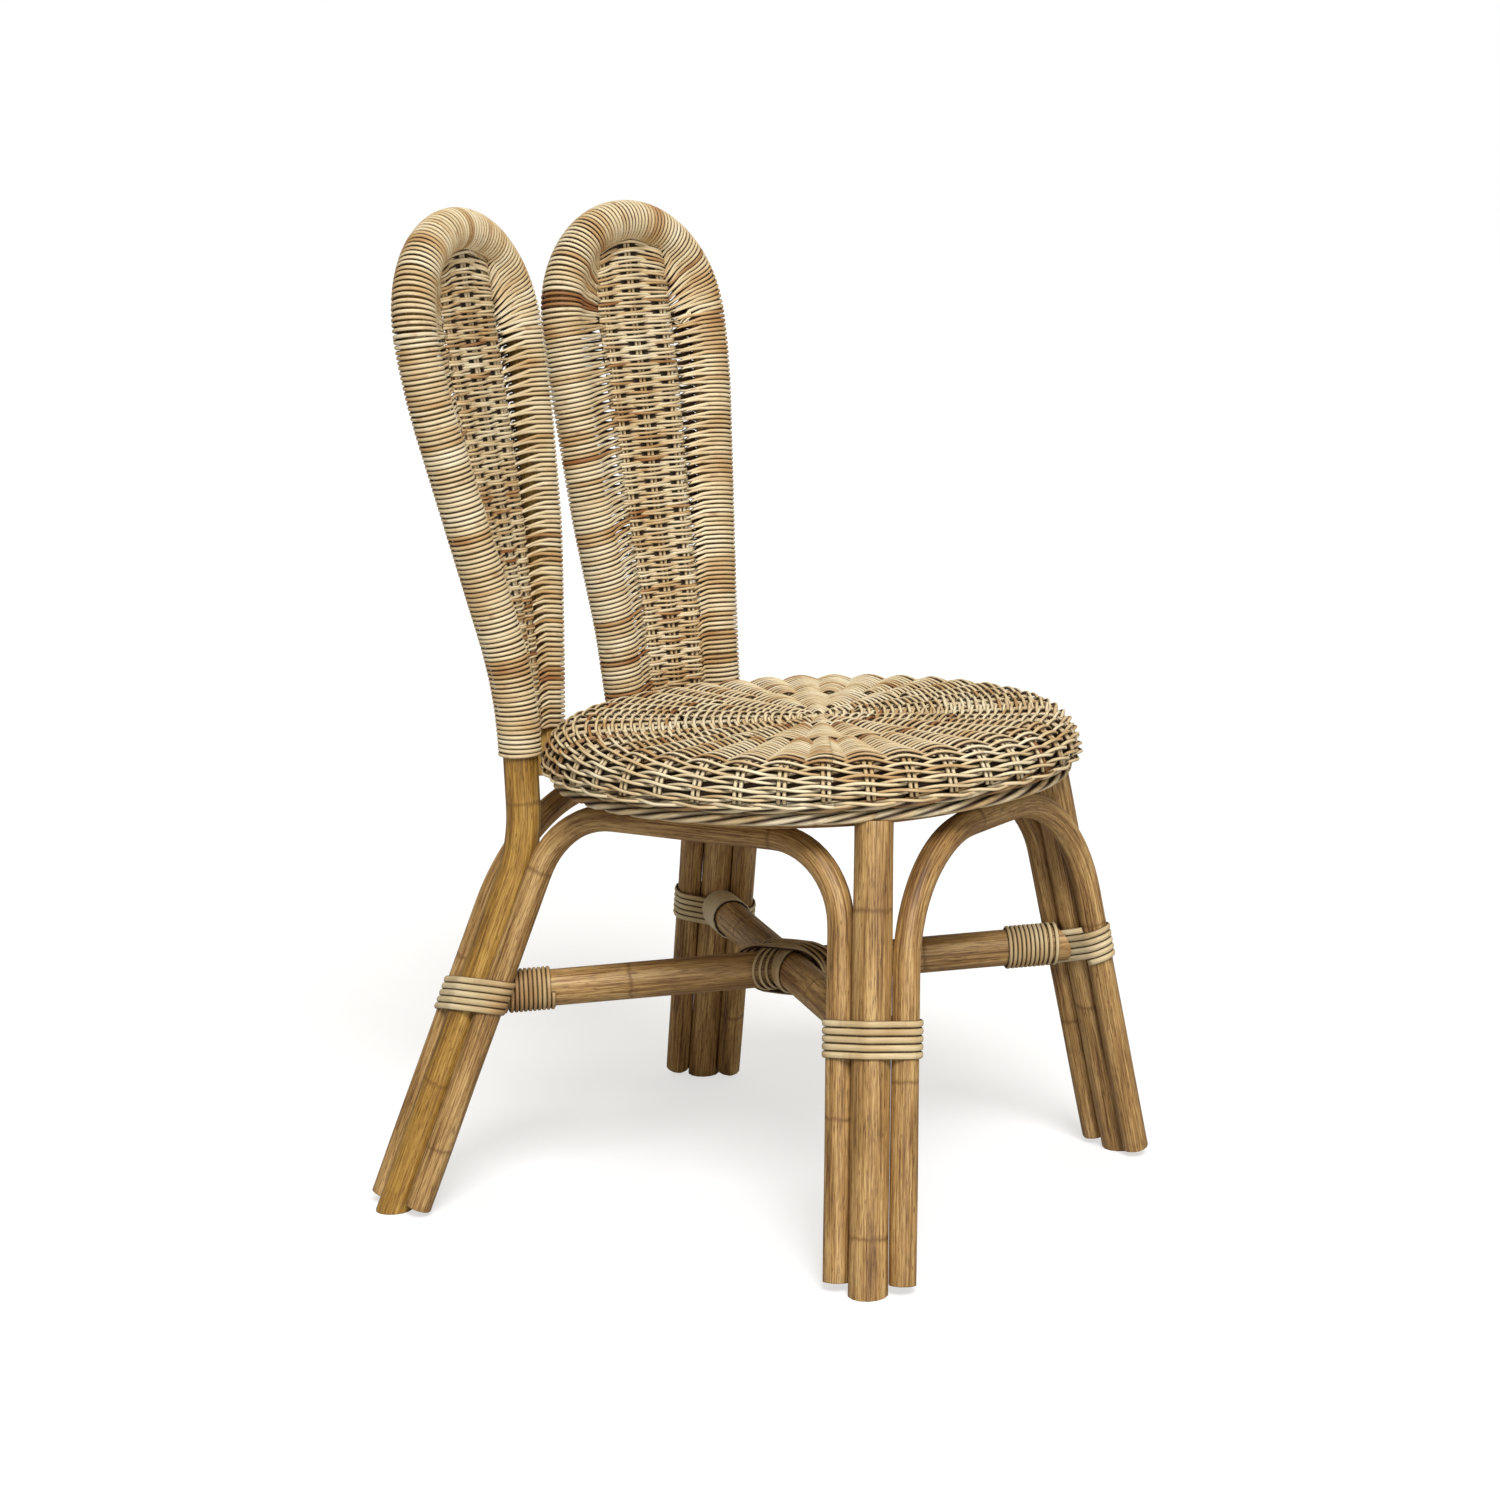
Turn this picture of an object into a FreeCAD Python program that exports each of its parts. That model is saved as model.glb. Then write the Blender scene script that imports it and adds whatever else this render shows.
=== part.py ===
import FreeCAD, Part
import math
import os
import Sketcher
from FreeCAD import Placement, Rotation, Vector

# A child's rattan chair: a round woven seat on a hoop, four splayed legs, four bent
# arches, a crossed stretcher and a back of two tall woven loops.
# Millimetres, +Z up, the chair faces -Y. The origin lies on the floor under the middle
# of the seat, and "left" is the -X side.

os.makedirs("parts", exist_ok=True)
doc = FreeCAD.newDocument("rattan_chair")

SIZES = {
    # Seat
    "seat_radius": 171,
    "seat_underside": 264,
    "seat_taper_height": 2.85,
    "seat_side_height": 7,
    "seat_shoulder_height": 23,
    "seat_shoulder_width": 26,
    "border_inset": 7,
    "border_lift": 6,
    "border_width": 13,
    "border_height": 8,
    "border_bevel": 2.5,
    "hoop_gap": 15,
    "hoop_width": 20,
    # Poles
    "front_pole_diameter": 23.5,
    "back_pole_diameter": 22,
    "arch_pole_diameter": 16.5,
    "stretcher_diameter": 23.5,
    "front_pole_inset": 18,
    "front_splay_x": 54.25,
    "front_splay_y": 20.45,
    "back_splay_x": 62.6,
    "back_splay_y": 72,
    "back_bend_drop": 30,
    "back_bend_radius": 120,
    "cross_arch_bend_radius": 88,
    "side_arch_bend_radius": 53,
    "arch_foot_level": 5,
    "front_lashing_level": 146,
    "back_lashing_level": 138.5,
    # Back loops
    "ear_top": 629.5,
    "ear_inner_x": 48.5,
    "ear_inner_gap": 1,
    "ear_flare_out": 42,
    "ear_flare_in": 27,
    "ear_lean_out": 33,
    "ear_lean_in": 23,
    "ear_bend_radius": 300,
    "ear_wrap_thickness": 2.8,
    "ear_wrap_lift": 31.5,
    "ear_panel_thickness": 8,
    "ear_panel_lift": 2.5,
    # Lashings
    "leg_cane_width": 4,
    "leg_cane_thickness": 2.2,
    "leg_cane_pitch": 4.6,
    "fine_cane_width": 2.7,
    "fine_cane_thickness": 2.2,
    "fine_cane_pitch": 3.3,
    "stretcher_lashing_start": 9.5,
    # Fits
    "clearance": 0.15,
    "overrun": 40,
}

ANGLES = {
    "front_pole_angle": 43.2,
    "back_pole_angle": 37.5,
    "front_row_angle": 20,
    "back_row_angle": 20,
    "dome_corner_angle": 30,
    "pole_chord_angle": 24,
    "cane_chord_angle": 36,
}

COUNTS = {
    "leg_lashing_turns": 5,
    "stretcher_lashing_turns": 8,
    "centre_lashing_turns": 5,
}

# Levels and radii that follow from the sizes
FORMULAS = {
    "border_underside": "=seat_underside + border_lift",
    "border_top": "=border_underside + border_height",
    "seat_hem": "=border_top + clearance",
    "seat_side_low": "=seat_hem + seat_taper_height",
    "seat_side_high": "=seat_side_low + seat_side_height",
    "seat_top": "=seat_side_high + seat_shoulder_height",
    "seat_flat_radius": "=seat_radius - seat_shoulder_width",
    "border_outer": "=seat_radius - border_inset",
    "border_inner": "=border_outer - border_width",
    "hoop_outer": "=border_inner - hoop_gap",
    "back_bend_level": "=seat_underside - back_bend_drop",
    "ear_wrap_start": "=seat_underside + ear_wrap_lift",
    "ear_panel_start": "=ear_wrap_start + ear_panel_lift",
}

sheet = doc.addObject("Spreadsheet::Sheet", "Sizes")
cells = [*SIZES.items(), *ANGLES.items(), *COUNTS.items(), *FORMULAS.items()]
for row, (name, value) in enumerate(cells, start=1):
    sheet.set(f"A{row}", name)
    sheet.set(f"B{row}", str(value))
    sheet.setAlias(f"B{row}", name)
doc.recompute()


def size(name):
    return float(sheet.get(name))


def radius(name):
    return size(name) / 2


CLEARANCE = size("clearance")
OVERRUN = size("overrun")
SIDES = {"left": -1, "right": 1}
parts = {}


def keep(name, item):
    """Label an object as one sub-part."""
    item.Label = name
    parts[name] = item
    return item


def keep_shape(name, shape, placement=Placement()):
    """Keep a shape that no sketch plane holds as one sub-part."""
    feature = doc.addObject("Part::Feature", name)
    feature.Shape = shape
    feature.Placement = placement
    return keep(name, feature)


def origin_plane(body, role):
    return next(item for item in body.Origin.OriginFeatures if item.Role == role)


def mirrored(point, side):
    return Vector(side * point.x, point.y, point.z)


# Routes, poles and windings

MITRED = 1


def bent_route(points, bends):
    """The corners of a bent pole, with a row of short tangent chords round each bend."""
    chord_angle = math.radians(size("pole_chord_angle"))
    corners = [points[0]]
    for k, bend in enumerate(bends, start=1):
        back = (points[k - 1] - points[k]).normalize()
        ahead = (points[k + 1] - points[k]).normalize()
        turn = math.pi - back.getAngle(ahead)
        chords = math.ceil(turn / chord_angle)
        outward = -(back + ahead).normalize()
        onward = (ahead - back).normalize()
        centre = points[k] - outward * (bend / math.cos(turn / 2))
        reach = bend / math.cos(turn / chords / 2)
        for n in range(chords):
            angle = ((n + 1 / 2) / chords - 1 / 2) * turn
            corners.append(centre + (outward * math.cos(angle) + onward * math.sin(angle)) * reach)
    return [*corners, points[-1]]


def tube(corners, tube_radius):
    """A round pole along straight chords, mitred where they meet."""
    ring = Part.Wire(Part.makeCircle(tube_radius, corners[0], corners[1] - corners[0]))
    return outward_facing(Part.makePolygon(corners).makePipeShell([ring], True, False, MITRED))


def outward_facing(solid):
    return solid if solid.Volume > 0 else solid.reversed()


def slab(low, high):
    """A wide block between two levels, which trims poles flat."""
    reach = size("seat_radius") * 4
    return Part.makeBox(reach, reach, high - low, Vector(-reach / 2, -reach / 2, low))


def pole_line(foot, top, level):
    """The point of a straight pole at a level."""
    return foot + (top - foot) * ((level - foot.z) / (top.z - foot.z))


def winding(name, outline_of_turn, pitch, turns, width, thickness):
    """One unbroken flat cane wound round an outline, climbing steadily along +Z.

    outline_of_turn(turn) gives the outline of the cane's middle as arcs that go once
    round: a centre, a radius and the directions in degrees that the arc faces first and
    last. Between two arcs the cane runs straight.
    """
    chord_angle = size("cane_chord_angle")
    steps = []
    for turn in range(turns):
        for centre, ring_radius, first, last in outline_of_turn(turn):
            chords = math.ceil((last - first) / chord_angle - CLEARANCE)
            step = (last - first) / chords
            for n in range(chords):
                facing = math.radians(first + (n + 1 / 2) * step)
                outward = Vector(math.cos(facing), math.sin(facing), 0)
                steps.append((centre, ring_radius, outward / math.cos(math.radians(step / 2))))
    steps.append(steps[0])
    climb = Vector(0, 0, pitch * turns / (len(steps) - 1))
    half_width = Vector(0, 0, width / 2)
    middles = []
    sections = []
    for k, (centre, ring_radius, outward) in enumerate(steps):
        place = centre + climb * k
        inner = place + outward * (ring_radius - thickness / 2)
        outer = place + outward * (ring_radius + thickness / 2)
        corners = [inner - half_width, outer - half_width, outer + half_width, inner + half_width]
        sections.append(Part.makePolygon([*corners, corners[0]]))
        middles.append(place + outward * ring_radius)
    gap = least_gap(Part.makePolygon(middles), turns, width)
    print(f"{name}: least gap between turns {gap:.2f} mm")
    return outward_facing(Part.makeLoft(sections, True, True))


def least_gap(route, turns, width):
    """The least free space between one turn of a winding and the next, on points."""
    samples = 60
    points = route.discretize(Number=samples * turns + 1)
    return min((points[k] - points[j]).Length
               for k in range(samples + 1)
               for j in range(k + samples // 2, min(len(points), k + 2 * samples))) - width


# Legs, arches and their rows

seat_underside = size("seat_underside")
front_radius = radius("front_pole_diameter")
back_radius = radius("back_pole_diameter")
arch_radius = radius("arch_pole_diameter")
stretcher_radius = radius("stretcher_diameter")
pole_stop = seat_underside - CLEARANCE
arch_level = pole_stop - arch_radius
front_stop = size("border_underside") - CLEARANCE
rail_radius = size("seat_radius") + back_radius + CLEARANCE
QUARTER = 90


def round_seat(angle, reach, level):
    """A point at an angle from the seat's middle line, on the +X side."""
    turn = math.radians(angle)
    return Vector(reach * math.sin(turn), reach * math.cos(turn), level)


def splayed(top, across, along):
    """The foot on the floor of a leg that spreads this far from its top."""
    return Vector(top.x + across, top.y + along, 0)


class Leg:
    """The main pole of a leg on the +X side, and the two arch poles that stand beside it."""

    def __init__(self, foot, top, pole_radius, outward_angle, lashing_level):
        self.foot = foot
        self.top = top
        self.radius = pole_radius
        self.axis = (top - foot).normalize()
        level_outward = Vector(math.cos(outward_angle), math.sin(outward_angle), 0)
        self.outward = (level_outward - self.axis * level_outward.dot(self.axis)).normalize()
        self.row = self.axis.cross(self.outward)
        self.spacing = pole_radius + arch_radius + 2 * CLEARANCE
        self.inset = pole_radius - arch_radius
        self.sideways = math.sqrt(self.spacing ** 2 - self.inset ** 2)
        self.lashed = self.at(lashing_level)

    def at(self, level):
        return pole_line(self.foot, self.top, level)

    def beside(self, along, level):
        """A point of the arch pole on one side of the leg, flush on the inner side."""
        start = self.foot + self.row * (along * self.sideways) - self.outward * self.inset
        return pole_line(start, start + self.axis, level)

    def cane_outline(self, cane_middle):
        """The outline of a cane round the three poles, cane_middle away from their skin."""
        slant = math.degrees(2 * math.atan2(self.inset, self.sideways))
        side = arch_radius + cane_middle
        right = Vector(self.sideways, -self.inset, 0)
        left = Vector(-self.sideways, -self.inset, 0)
        return [(right, side, -QUARTER, QUARTER - slant),
                (Vector(), self.radius + cane_middle, QUARTER - slant, QUARTER + slant),
                (left, side, QUARTER + slant, 3 * QUARTER)]


front_top = round_seat(2 * QUARTER - size("front_pole_angle"),
                       size("seat_radius") - size("front_pole_inset"), front_stop)
front_leg = Leg(splayed(front_top, size("front_splay_x"), -size("front_splay_y")), front_top,
                front_radius, -math.radians(size("front_row_angle")), size("front_lashing_level"))
back_top = round_seat(size("back_pole_angle"), rail_radius, size("back_bend_level"))
back_leg = Leg(splayed(back_top, size("back_splay_x"), size("back_splay_y")), back_top,
               back_radius, math.radians(size("back_row_angle")), size("back_lashing_level"))
LEGS = {"front": front_leg, "back": back_leg}


def make_front_leg(side_name):
    """A straight pole, cut level at the floor and under the seat."""
    foot = mirrored(front_leg.foot, SIDES[side_name])
    heading = (mirrored(front_leg.top, SIDES[side_name]) - foot).normalize()
    pole = doc.addObject("PartDesign::Body", f"{side_name}_front_pole")
    sketch = pole.newObject("Sketcher::SketchObject", f"{side_name}_front_pole_section")
    sketch.AttachmentSupport = [(origin_plane(pole, "XY_Plane"), "")]
    sketch.MapMode = "FlatFace"
    sketch.addGeometry(Part.Circle(Vector(), Vector(0, 0, 1), front_radius))
    sketch.addConstraint(Sketcher.Constraint("Coincident", 0, 3, -1, 1))
    sketch.addConstraint(Sketcher.Constraint("Diameter", 0, size("front_pole_diameter")))
    sketch.setExpression("Constraints[1]", "Sizes.front_pole_diameter")
    pad = pole.newObject("PartDesign::Pad", f"{side_name}_front_pole_length")
    pad.Profile = sketch
    pad.setExpression("Length", "Sizes.seat_underside + 3 * Sizes.overrun")
    pole.Placement = Placement(foot - heading * OVERRUN, Rotation(Vector(0, 0, 1), heading))
    trim = doc.addObject("Part::Box", f"{side_name}_front_leg_trim")
    trim.setExpression("Length", "4 * Sizes.seat_radius")
    trim.setExpression("Width", "4 * Sizes.seat_radius")
    trim.setExpression("Height", "Sizes.border_underside - Sizes.clearance")
    trim.Placement = Placement(Vector(-2, -2, 0) * size("seat_radius"), Rotation())
    leg = doc.addObject("Part::Common", f"{side_name}_front_leg")
    leg.Base = pole
    leg.Tool = trim
    keep(f"{side_name}_front_leg", leg)


def make_arch(name, bend, *ends):
    """A pole bent to a U, its ends beside two legs just off the floor, its top under the seat.

    Each end is a leg, the way along its row and its side of the chair.
    """
    below, corners = [
        [mirrored(leg.beside(along, level), side) for leg, along, side in ends]
        for level in (-OVERRUN, arch_level)]
    route = bent_route([below[0], *corners, below[1]], [bend, bend])
    keep_shape(name, tube(route, arch_radius).common(slab(size("arch_foot_level"), pole_stop)))


# The back loops

ear_crown = size("ear_top") - back_radius - size("ear_wrap_thickness")
ear_rise = ear_crown - size("seat_top")
inner_base_y = math.sqrt(rail_radius ** 2 - size("ear_inner_x") ** 2)
inner_end = Vector(size("ear_inner_x"), inner_base_y,
                   seat_underside + size("ear_inner_gap"))

# Each rail's corners going round the loop, as shares of its rise, flare and lean
OUTER_RAIL_SHARES = [(0.07, 0.0, 0.03), (0.70, 1.0, 0.85)]
INNER_RAIL_SHARES = [(0.66, 1.0, 0.80), (0.37, 0.78, 0.42), (0.12, 0.34, 0.14)]
DOME_RISE_SHARE = 0.78


def rail_point(rail, rise_share, flare_share, lean_share):
    """A point of a loop's outer or inner rail."""
    if rail == "outer":
        base = back_leg.top
        flare = size("ear_flare_out")
        lean = size("ear_lean_out")
    else:
        base = inner_end
        flare = -size("ear_flare_in")
        lean = size("ear_lean_in")
    level = size("seat_top") + rise_share * ear_rise
    return Vector(base.x + flare_share * flare, base.y + lean_share * lean, level)


class Dome:
    """The round top of a loop, a half circle from the outer rail to the inner one."""

    def __init__(self):
        outer = rail_point("outer", DOME_RISE_SHARE, 1, 1)
        inner = rail_point("inner", DOME_RISE_SHARE, 1, 1)
        self.radius = (outer - inner).Length / 2
        self.across = (outer - inner).normalize()
        lean = math.atan2(size("ear_lean_in"), DOME_RISE_SHARE * ear_rise)
        backward = Vector(0, math.cos(lean), -math.sin(lean))
        self.up = self.across.cross(backward).normalize()
        self.centre = (outer + inner) / 2
        self.centre.z = ear_crown - self.radius * self.up.z

    def at(self, angle, reach=1):
        """The point at an angle from the outer side, which is 0, to the inner, 180."""
        turn = math.radians(angle)
        ray = self.across * math.cos(turn) + self.up * math.sin(turn)
        return self.centre + ray * (self.radius * reach)


dome = Dome()


def ear_corners():
    """The corners of a loop's route and its bend radii, from the seat up and over."""
    corner = size("dome_corner_angle")
    reach = 1 / math.cos(math.radians(corner))
    outer = [rail_point("outer", *shares) for shares in OUTER_RAIL_SHARES]
    top = [dome.at(angle, reach) for angle in (corner, 3 * corner, 5 * corner)]
    inner = [rail_point("inner", *shares) for shares in INNER_RAIL_SHARES]
    bend = size("ear_bend_radius")
    bends = [bend] * len(outer) + [dome.radius] * len(top) + [bend] * len(inner)
    return [*outer, *top, *inner], bends


def ear_pole_bar():
    """A back leg that runs on up as the frame of a loop and comes back down inside it."""
    corners, bends = ear_corners()
    points = [back_leg.at(-OVERRUN), back_leg.top, *corners, inner_end]
    route = bent_route(points, [size("back_bend_radius"), *bends])
    return tube(route, back_radius).common(slab(0, size("ear_top") + OVERRUN))


wrap_radius = back_radius + size("ear_wrap_thickness")


def ear_wrap_route():
    """The part of a loop's route that is wrapped, from the seat over and down again."""
    corners, bends = ear_corners()
    start = pole_line(back_leg.top, corners[0], size("ear_wrap_start"))
    end = pole_line(inner_end, corners[-1], size("ear_wrap_start"))
    return bent_route([start, *corners, end], bends)


def rail_at(rail, level):
    """A rail's point at a level and its heading there, read from points along it."""
    for low, high in zip(rail, rail[1:]):
        if level <= high.z:
            break
    return pole_line(low, high, level), (high - low).normalize()


PANEL_RISE_SHARES = sorted(rise for rise, _, _ in [*OUTER_RAIL_SHARES, *INNER_RAIL_SHARES])
PANEL_DOME_ANGLES = [0, 24, 46, 66, 80]


def ear_panel():
    """The woven field between the two rails, which meets their winding and twists with it."""
    points = Part.makePolygon(ear_wrap_route()).discretize(Number=900)
    crown = max(range(len(points)), key=lambda k: points[k].z)
    outer = points[:crown + 1]
    inner = points[crown:][::-1]
    edge_reach = wrap_radius + 3 * CLEARANCE
    levels = [size("ear_panel_start")]
    levels += [size("seat_top") + share * ear_rise for share in PANEL_RISE_SHARES]
    chords = []
    for level in levels:
        (first, first_heading), (last, last_heading) = rail_at(outer, level), rail_at(inner, level)
        across = (last - first).normalize()
        first += across * (edge_reach / math.sin(across.getAngle(first_heading)))
        last -= across * (edge_reach / math.sin(across.getAngle(last_heading)))
        chords.append((first, last))
    reach = 1 - edge_reach / dome.radius
    half_circle = 6 * size("dome_corner_angle")
    chords += [(dome.at(angle, reach), dome.at(half_circle - angle, reach))
               for angle in PANEL_DOME_ANGLES]
    sections = []
    for first, last in chords:
        across = last - first
        skin = Vector(-across.y, across.x, 0).normalize() * (size("ear_panel_thickness") / 2)
        ring = [first - skin, last - skin, last + skin, first + skin]
        sections.append(Part.makePolygon([*ring, ring[0]]))
    return outward_facing(Part.makeLoft(sections, True, True))


def make_ears():
    """The two loops, each the other's mirror image."""
    pole = ear_pole_bar()
    wrap = tube(ear_wrap_route(), wrap_radius).cut(pole)
    for piece, shape in (("pole", pole), ("wrap", wrap), ("panel", ear_panel())):
        keep_shape(f"left_ear_{piece}", shape.mirror(Vector(), Vector(1, 0, 0)))
        keep_shape(f"right_ear_{piece}", shape)


# Stretchers

leg_cane_build = size("leg_cane_thickness") + 2 * CLEARANCE
crossing_share = front_leg.lashed.x / (front_leg.lashed.x + back_leg.lashed.x)
crossing = (mirrored(front_leg.lashed, -1) * (1 - crossing_share)
            + back_leg.lashed * crossing_share)
ACROSS = Vector(1, 0, 0)
# Square to both stretchers where they cross
lap_up = ACROSS.cross(crossing - (front_leg.lashed + mirrored(front_leg.lashed, -1)) / 2).normalize()


def leg_turn(leg, side):
    """The turn of a leg's own frame: +Y outward, +Z along the pole."""
    outward = mirrored(leg.outward, side)
    axis = mirrored(leg.axis, side)
    return Rotation(outward.cross(axis), outward, axis, "ZYX")


def stretcher_end(leg, side):
    """Where a stretcher meets the leg's lashing, and its heading from there inward."""
    centre = mirrored(leg.lashed, side)
    heading = (crossing - centre).normalize()
    depth = leg.radius + leg_cane_build
    reach = depth / -heading.dot(mirrored(leg.outward, side))
    return centre + heading * reach, heading


def make_stretcher(name, front_side, lap_above):
    """A pole from a front leg to the back leg across, half lapped over the other."""
    front_end, heading = stretcher_end(front_leg, front_side)
    back_end, _ = stretcher_end(back_leg, -front_side)
    pole = doc.addObject("Part::Cylinder", f"{name}_pole")
    pole.setExpression("Radius", "Sizes.stretcher_diameter / 2")
    pole.Height = (back_end - front_end).Length + 2 * stretcher_radius
    pole.Placement = Placement(front_end - heading * stretcher_radius,
                               Rotation(Vector(), lap_up, heading, "ZYX"))
    notch = doc.addObject("Part::Box", f"{name}_lap")
    notch.setExpression("Length", "Sizes.stretcher_diameter + 2 * Sizes.clearance")
    notch.setExpression("Width", "2 * Sizes.stretcher_diameter")
    notch.setExpression("Height", "Sizes.stretcher_diameter")
    other = mirrored(heading, -1)
    aside = other.cross(lap_up)
    corner = crossing - aside * (stretcher_radius + CLEARANCE) - other * 2 * stretcher_radius
    drop = -CLEARANCE / 2 if lap_above else CLEARANCE / 2 - 2 * stretcher_radius
    notch.Placement = Placement(corner + lap_up * drop, Rotation(aside, other, lap_up, "ZXY"))
    tools = [notch]
    for leg, side in ((front_leg, front_side), (back_leg, -front_side)):
        turn = leg_turn(leg, side)
        cut = doc.addObject("Part::Box", f"{name}_end_cut")
        for edge in ("Length", "Width", "Height"):
            cut.setExpression(edge, "4 * Sizes.stretcher_diameter")
        reach = 2 * size("stretcher_diameter")
        corner = turn.multVec(Vector(-reach, -leg.radius - leg_cane_build, -reach))
        cut.Placement = Placement(mirrored(leg.lashed, side) + corner, turn)
        tools.append(cut)
    trims = doc.addObject("Part::MultiFuse", f"{name}_trims")
    trims.Shapes = tools
    stretcher = doc.addObject("Part::Cut", name)
    stretcher.Base = pole
    stretcher.Tool = trims
    keep(name, stretcher)


# Lashings

def make_leg_lashings():
    """A band of flat cane round each leg's three poles, level with the stretchers."""
    width = size("leg_cane_width")
    pitch = size("leg_cane_pitch")
    turns = int(size("leg_lashing_turns"))
    thickness = size("leg_cane_thickness")
    cane_middle = CLEARANCE + thickness / 2
    bands = []
    for end, leg in LEGS.items():
        band = winding(f"{end} leg lashing", lambda turn: leg.cane_outline(cane_middle),
                       pitch, turns, width, thickness)
        for side in SIDES.values():
            turned = leg_turn(leg, side)
            middle = mirrored(leg.lashed, side)
            copy = band.copy()
            copy.Placement = Placement(middle - turned.multVec(Vector(0, 0, turns * pitch / 2)), turned)
            bands.append(copy)
    keep_shape("leg_lashings", Part.makeCompound(bands))


def stretcher_end_bands():
    """Fine cane wound round each stretcher end, close to the leg."""
    pitch = size("fine_cane_pitch")
    turns = int(size("stretcher_lashing_turns"))
    thickness = size("fine_cane_thickness")
    ring_radius = stretcher_radius + CLEARANCE + thickness / 2
    full_turn = [(Vector(), ring_radius, -QUARTER, 3 * QUARTER)]
    band = winding("stretcher lashing", lambda turn: full_turn, pitch, turns,
                   size("fine_cane_width"), thickness)
    for leg in LEGS.values():
        for side in SIDES.values():
            end, heading = stretcher_end(leg, side)
            copy = band.copy()
            start = end + heading * size("stretcher_lashing_start")
            copy.Placement = Placement(start, Rotation(Vector(), lap_up, heading, "ZYX"))
            yield copy


def centre_bands():
    """Two bands of fine cane that cross over the lap of the stretchers."""
    pitch = size("fine_cane_pitch")
    turns = int(size("centre_lashing_turns"))
    width = size("fine_cane_width")
    thickness = size("fine_cane_thickness")
    lower = stretcher_radius + CLEARANCE + thickness / 2
    upper = lower + thickness + CLEARANCE
    half_band = turns * pitch / 2
    _, heading = stretcher_end(front_leg, 1)
    for name, half_depth, flat, across in (("lower", lower, 0, ACROSS),
                                           ("upper", upper, half_band, lap_up.cross(ACROSS))):
        along = across.cross(lap_up)
        run = abs(heading.dot(along))
        drift = abs(heading.dot(across))

        def outline(turn):
            offset = abs((turn + 1 / 2) * pitch - half_band) + (pitch + width) / 2
            reach = (stretcher_radius + offset * drift) / run + CLEARANCE + thickness / 2
            corner = min(half_depth, reach - flat)
            out, up = reach - corner, half_depth - corner
            corners = [(out, -up), (out, up), (-out, up), (-out, -up)]
            return [(Vector(*place, 0), corner, (k - 1) * QUARTER, k * QUARTER)
                    for k, place in enumerate(corners)]

        band = winding(f"{name} centre lashing", outline, pitch, turns, width, thickness)
        band.Placement = Placement(crossing - along * half_band,
                                   Rotation(across, lap_up, along, "ZYX"))
        yield band


def make_stretcher_lashings():
    keep_shape("stretcher_lashings", Part.makeCompound([*stretcher_end_bands(), *centre_bands()]))


# The seat

def make_ring(name, outline):
    """A ring or a cap turned about the seat's axis.

    The outline's corners are pairs of a radius and a level, as expressions.
    """
    body = doc.addObject("PartDesign::Body", name)
    sketch = body.newObject("Sketcher::SketchObject", f"{name}_profile")
    sketch.AttachmentSupport = [(origin_plane(body, "XZ_Plane"), "")]
    sketch.MapMode = "FlatFace"
    corners = [Vector(*[float(sheet.evalExpression(text)) for text in pair], 0)
               for pair in outline]
    count = len(corners)
    for k, corner in enumerate(corners):
        sketch.addGeometry(Part.LineSegment(corner, corners[(k + 1) % count]))
    for k, (across, level) in enumerate(outline):
        sketch.addConstraint(Sketcher.Constraint("Coincident", k, 2, (k + 1) % count, 1))
        if corners[k].x > 0:
            placed = sketch.addConstraint(
                Sketcher.Constraint("DistanceX", k, 1, corners[k].x))
            sketch.setExpression(f"Constraints[{placed}]", across)
        else:
            sketch.addConstraint(Sketcher.Constraint("PointOnObject", k, 1, -2))
        placed = sketch.addConstraint(Sketcher.Constraint("DistanceY", k, 1, corners[k].y))
        sketch.setExpression(f"Constraints[{placed}]", level)
    turned = body.newObject("PartDesign::Revolution", f"{name}_turned")
    turned.Profile = sketch
    turned.ReferenceAxis = (sketch, ["V_Axis"])
    turned.Angle = 360
    return keep(name, body)


# The seat's round shoulder, as shares of its width and of its drop
SHOULDER_SHARES = [(0, 0), (0.42, 0.12), (0.78, 0.42), (1, 1)]


def make_seat():
    """The woven cake, closed over its hollow, on the border and the hoop that carry it."""
    rounding = [(f"Sizes.seat_flat_radius + {out} * Sizes.seat_shoulder_width",
                 f"Sizes.seat_top - {down} * Sizes.seat_shoulder_height")
                for out, down in SHOULDER_SHARES]
    make_ring("seat_weave", [
        ("0", "Sizes.seat_top"),
        *rounding,
        ("Sizes.seat_radius", "Sizes.seat_side_low"),
        ("Sizes.border_outer", "Sizes.seat_hem"),
        ("0", "Sizes.seat_hem"),
    ])
    make_ring("seat_border", [
        ("Sizes.border_inner", "Sizes.border_underside"),
        ("Sizes.border_outer - Sizes.border_bevel", "Sizes.border_underside"),
        ("Sizes.border_outer", "Sizes.border_underside + Sizes.border_height / 2"),
        ("Sizes.border_outer - Sizes.border_bevel", "Sizes.border_top"),
        ("Sizes.border_inner", "Sizes.border_top"),
    ])
    make_ring("seat_hoop", [
        ("Sizes.hoop_outer - Sizes.hoop_width", "Sizes.seat_underside"),
        ("Sizes.hoop_outer", "Sizes.seat_underside"),
        ("Sizes.hoop_outer", "Sizes.border_top"),
        ("Sizes.hoop_outer - Sizes.hoop_width", "Sizes.border_top"),
    ])


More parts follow.
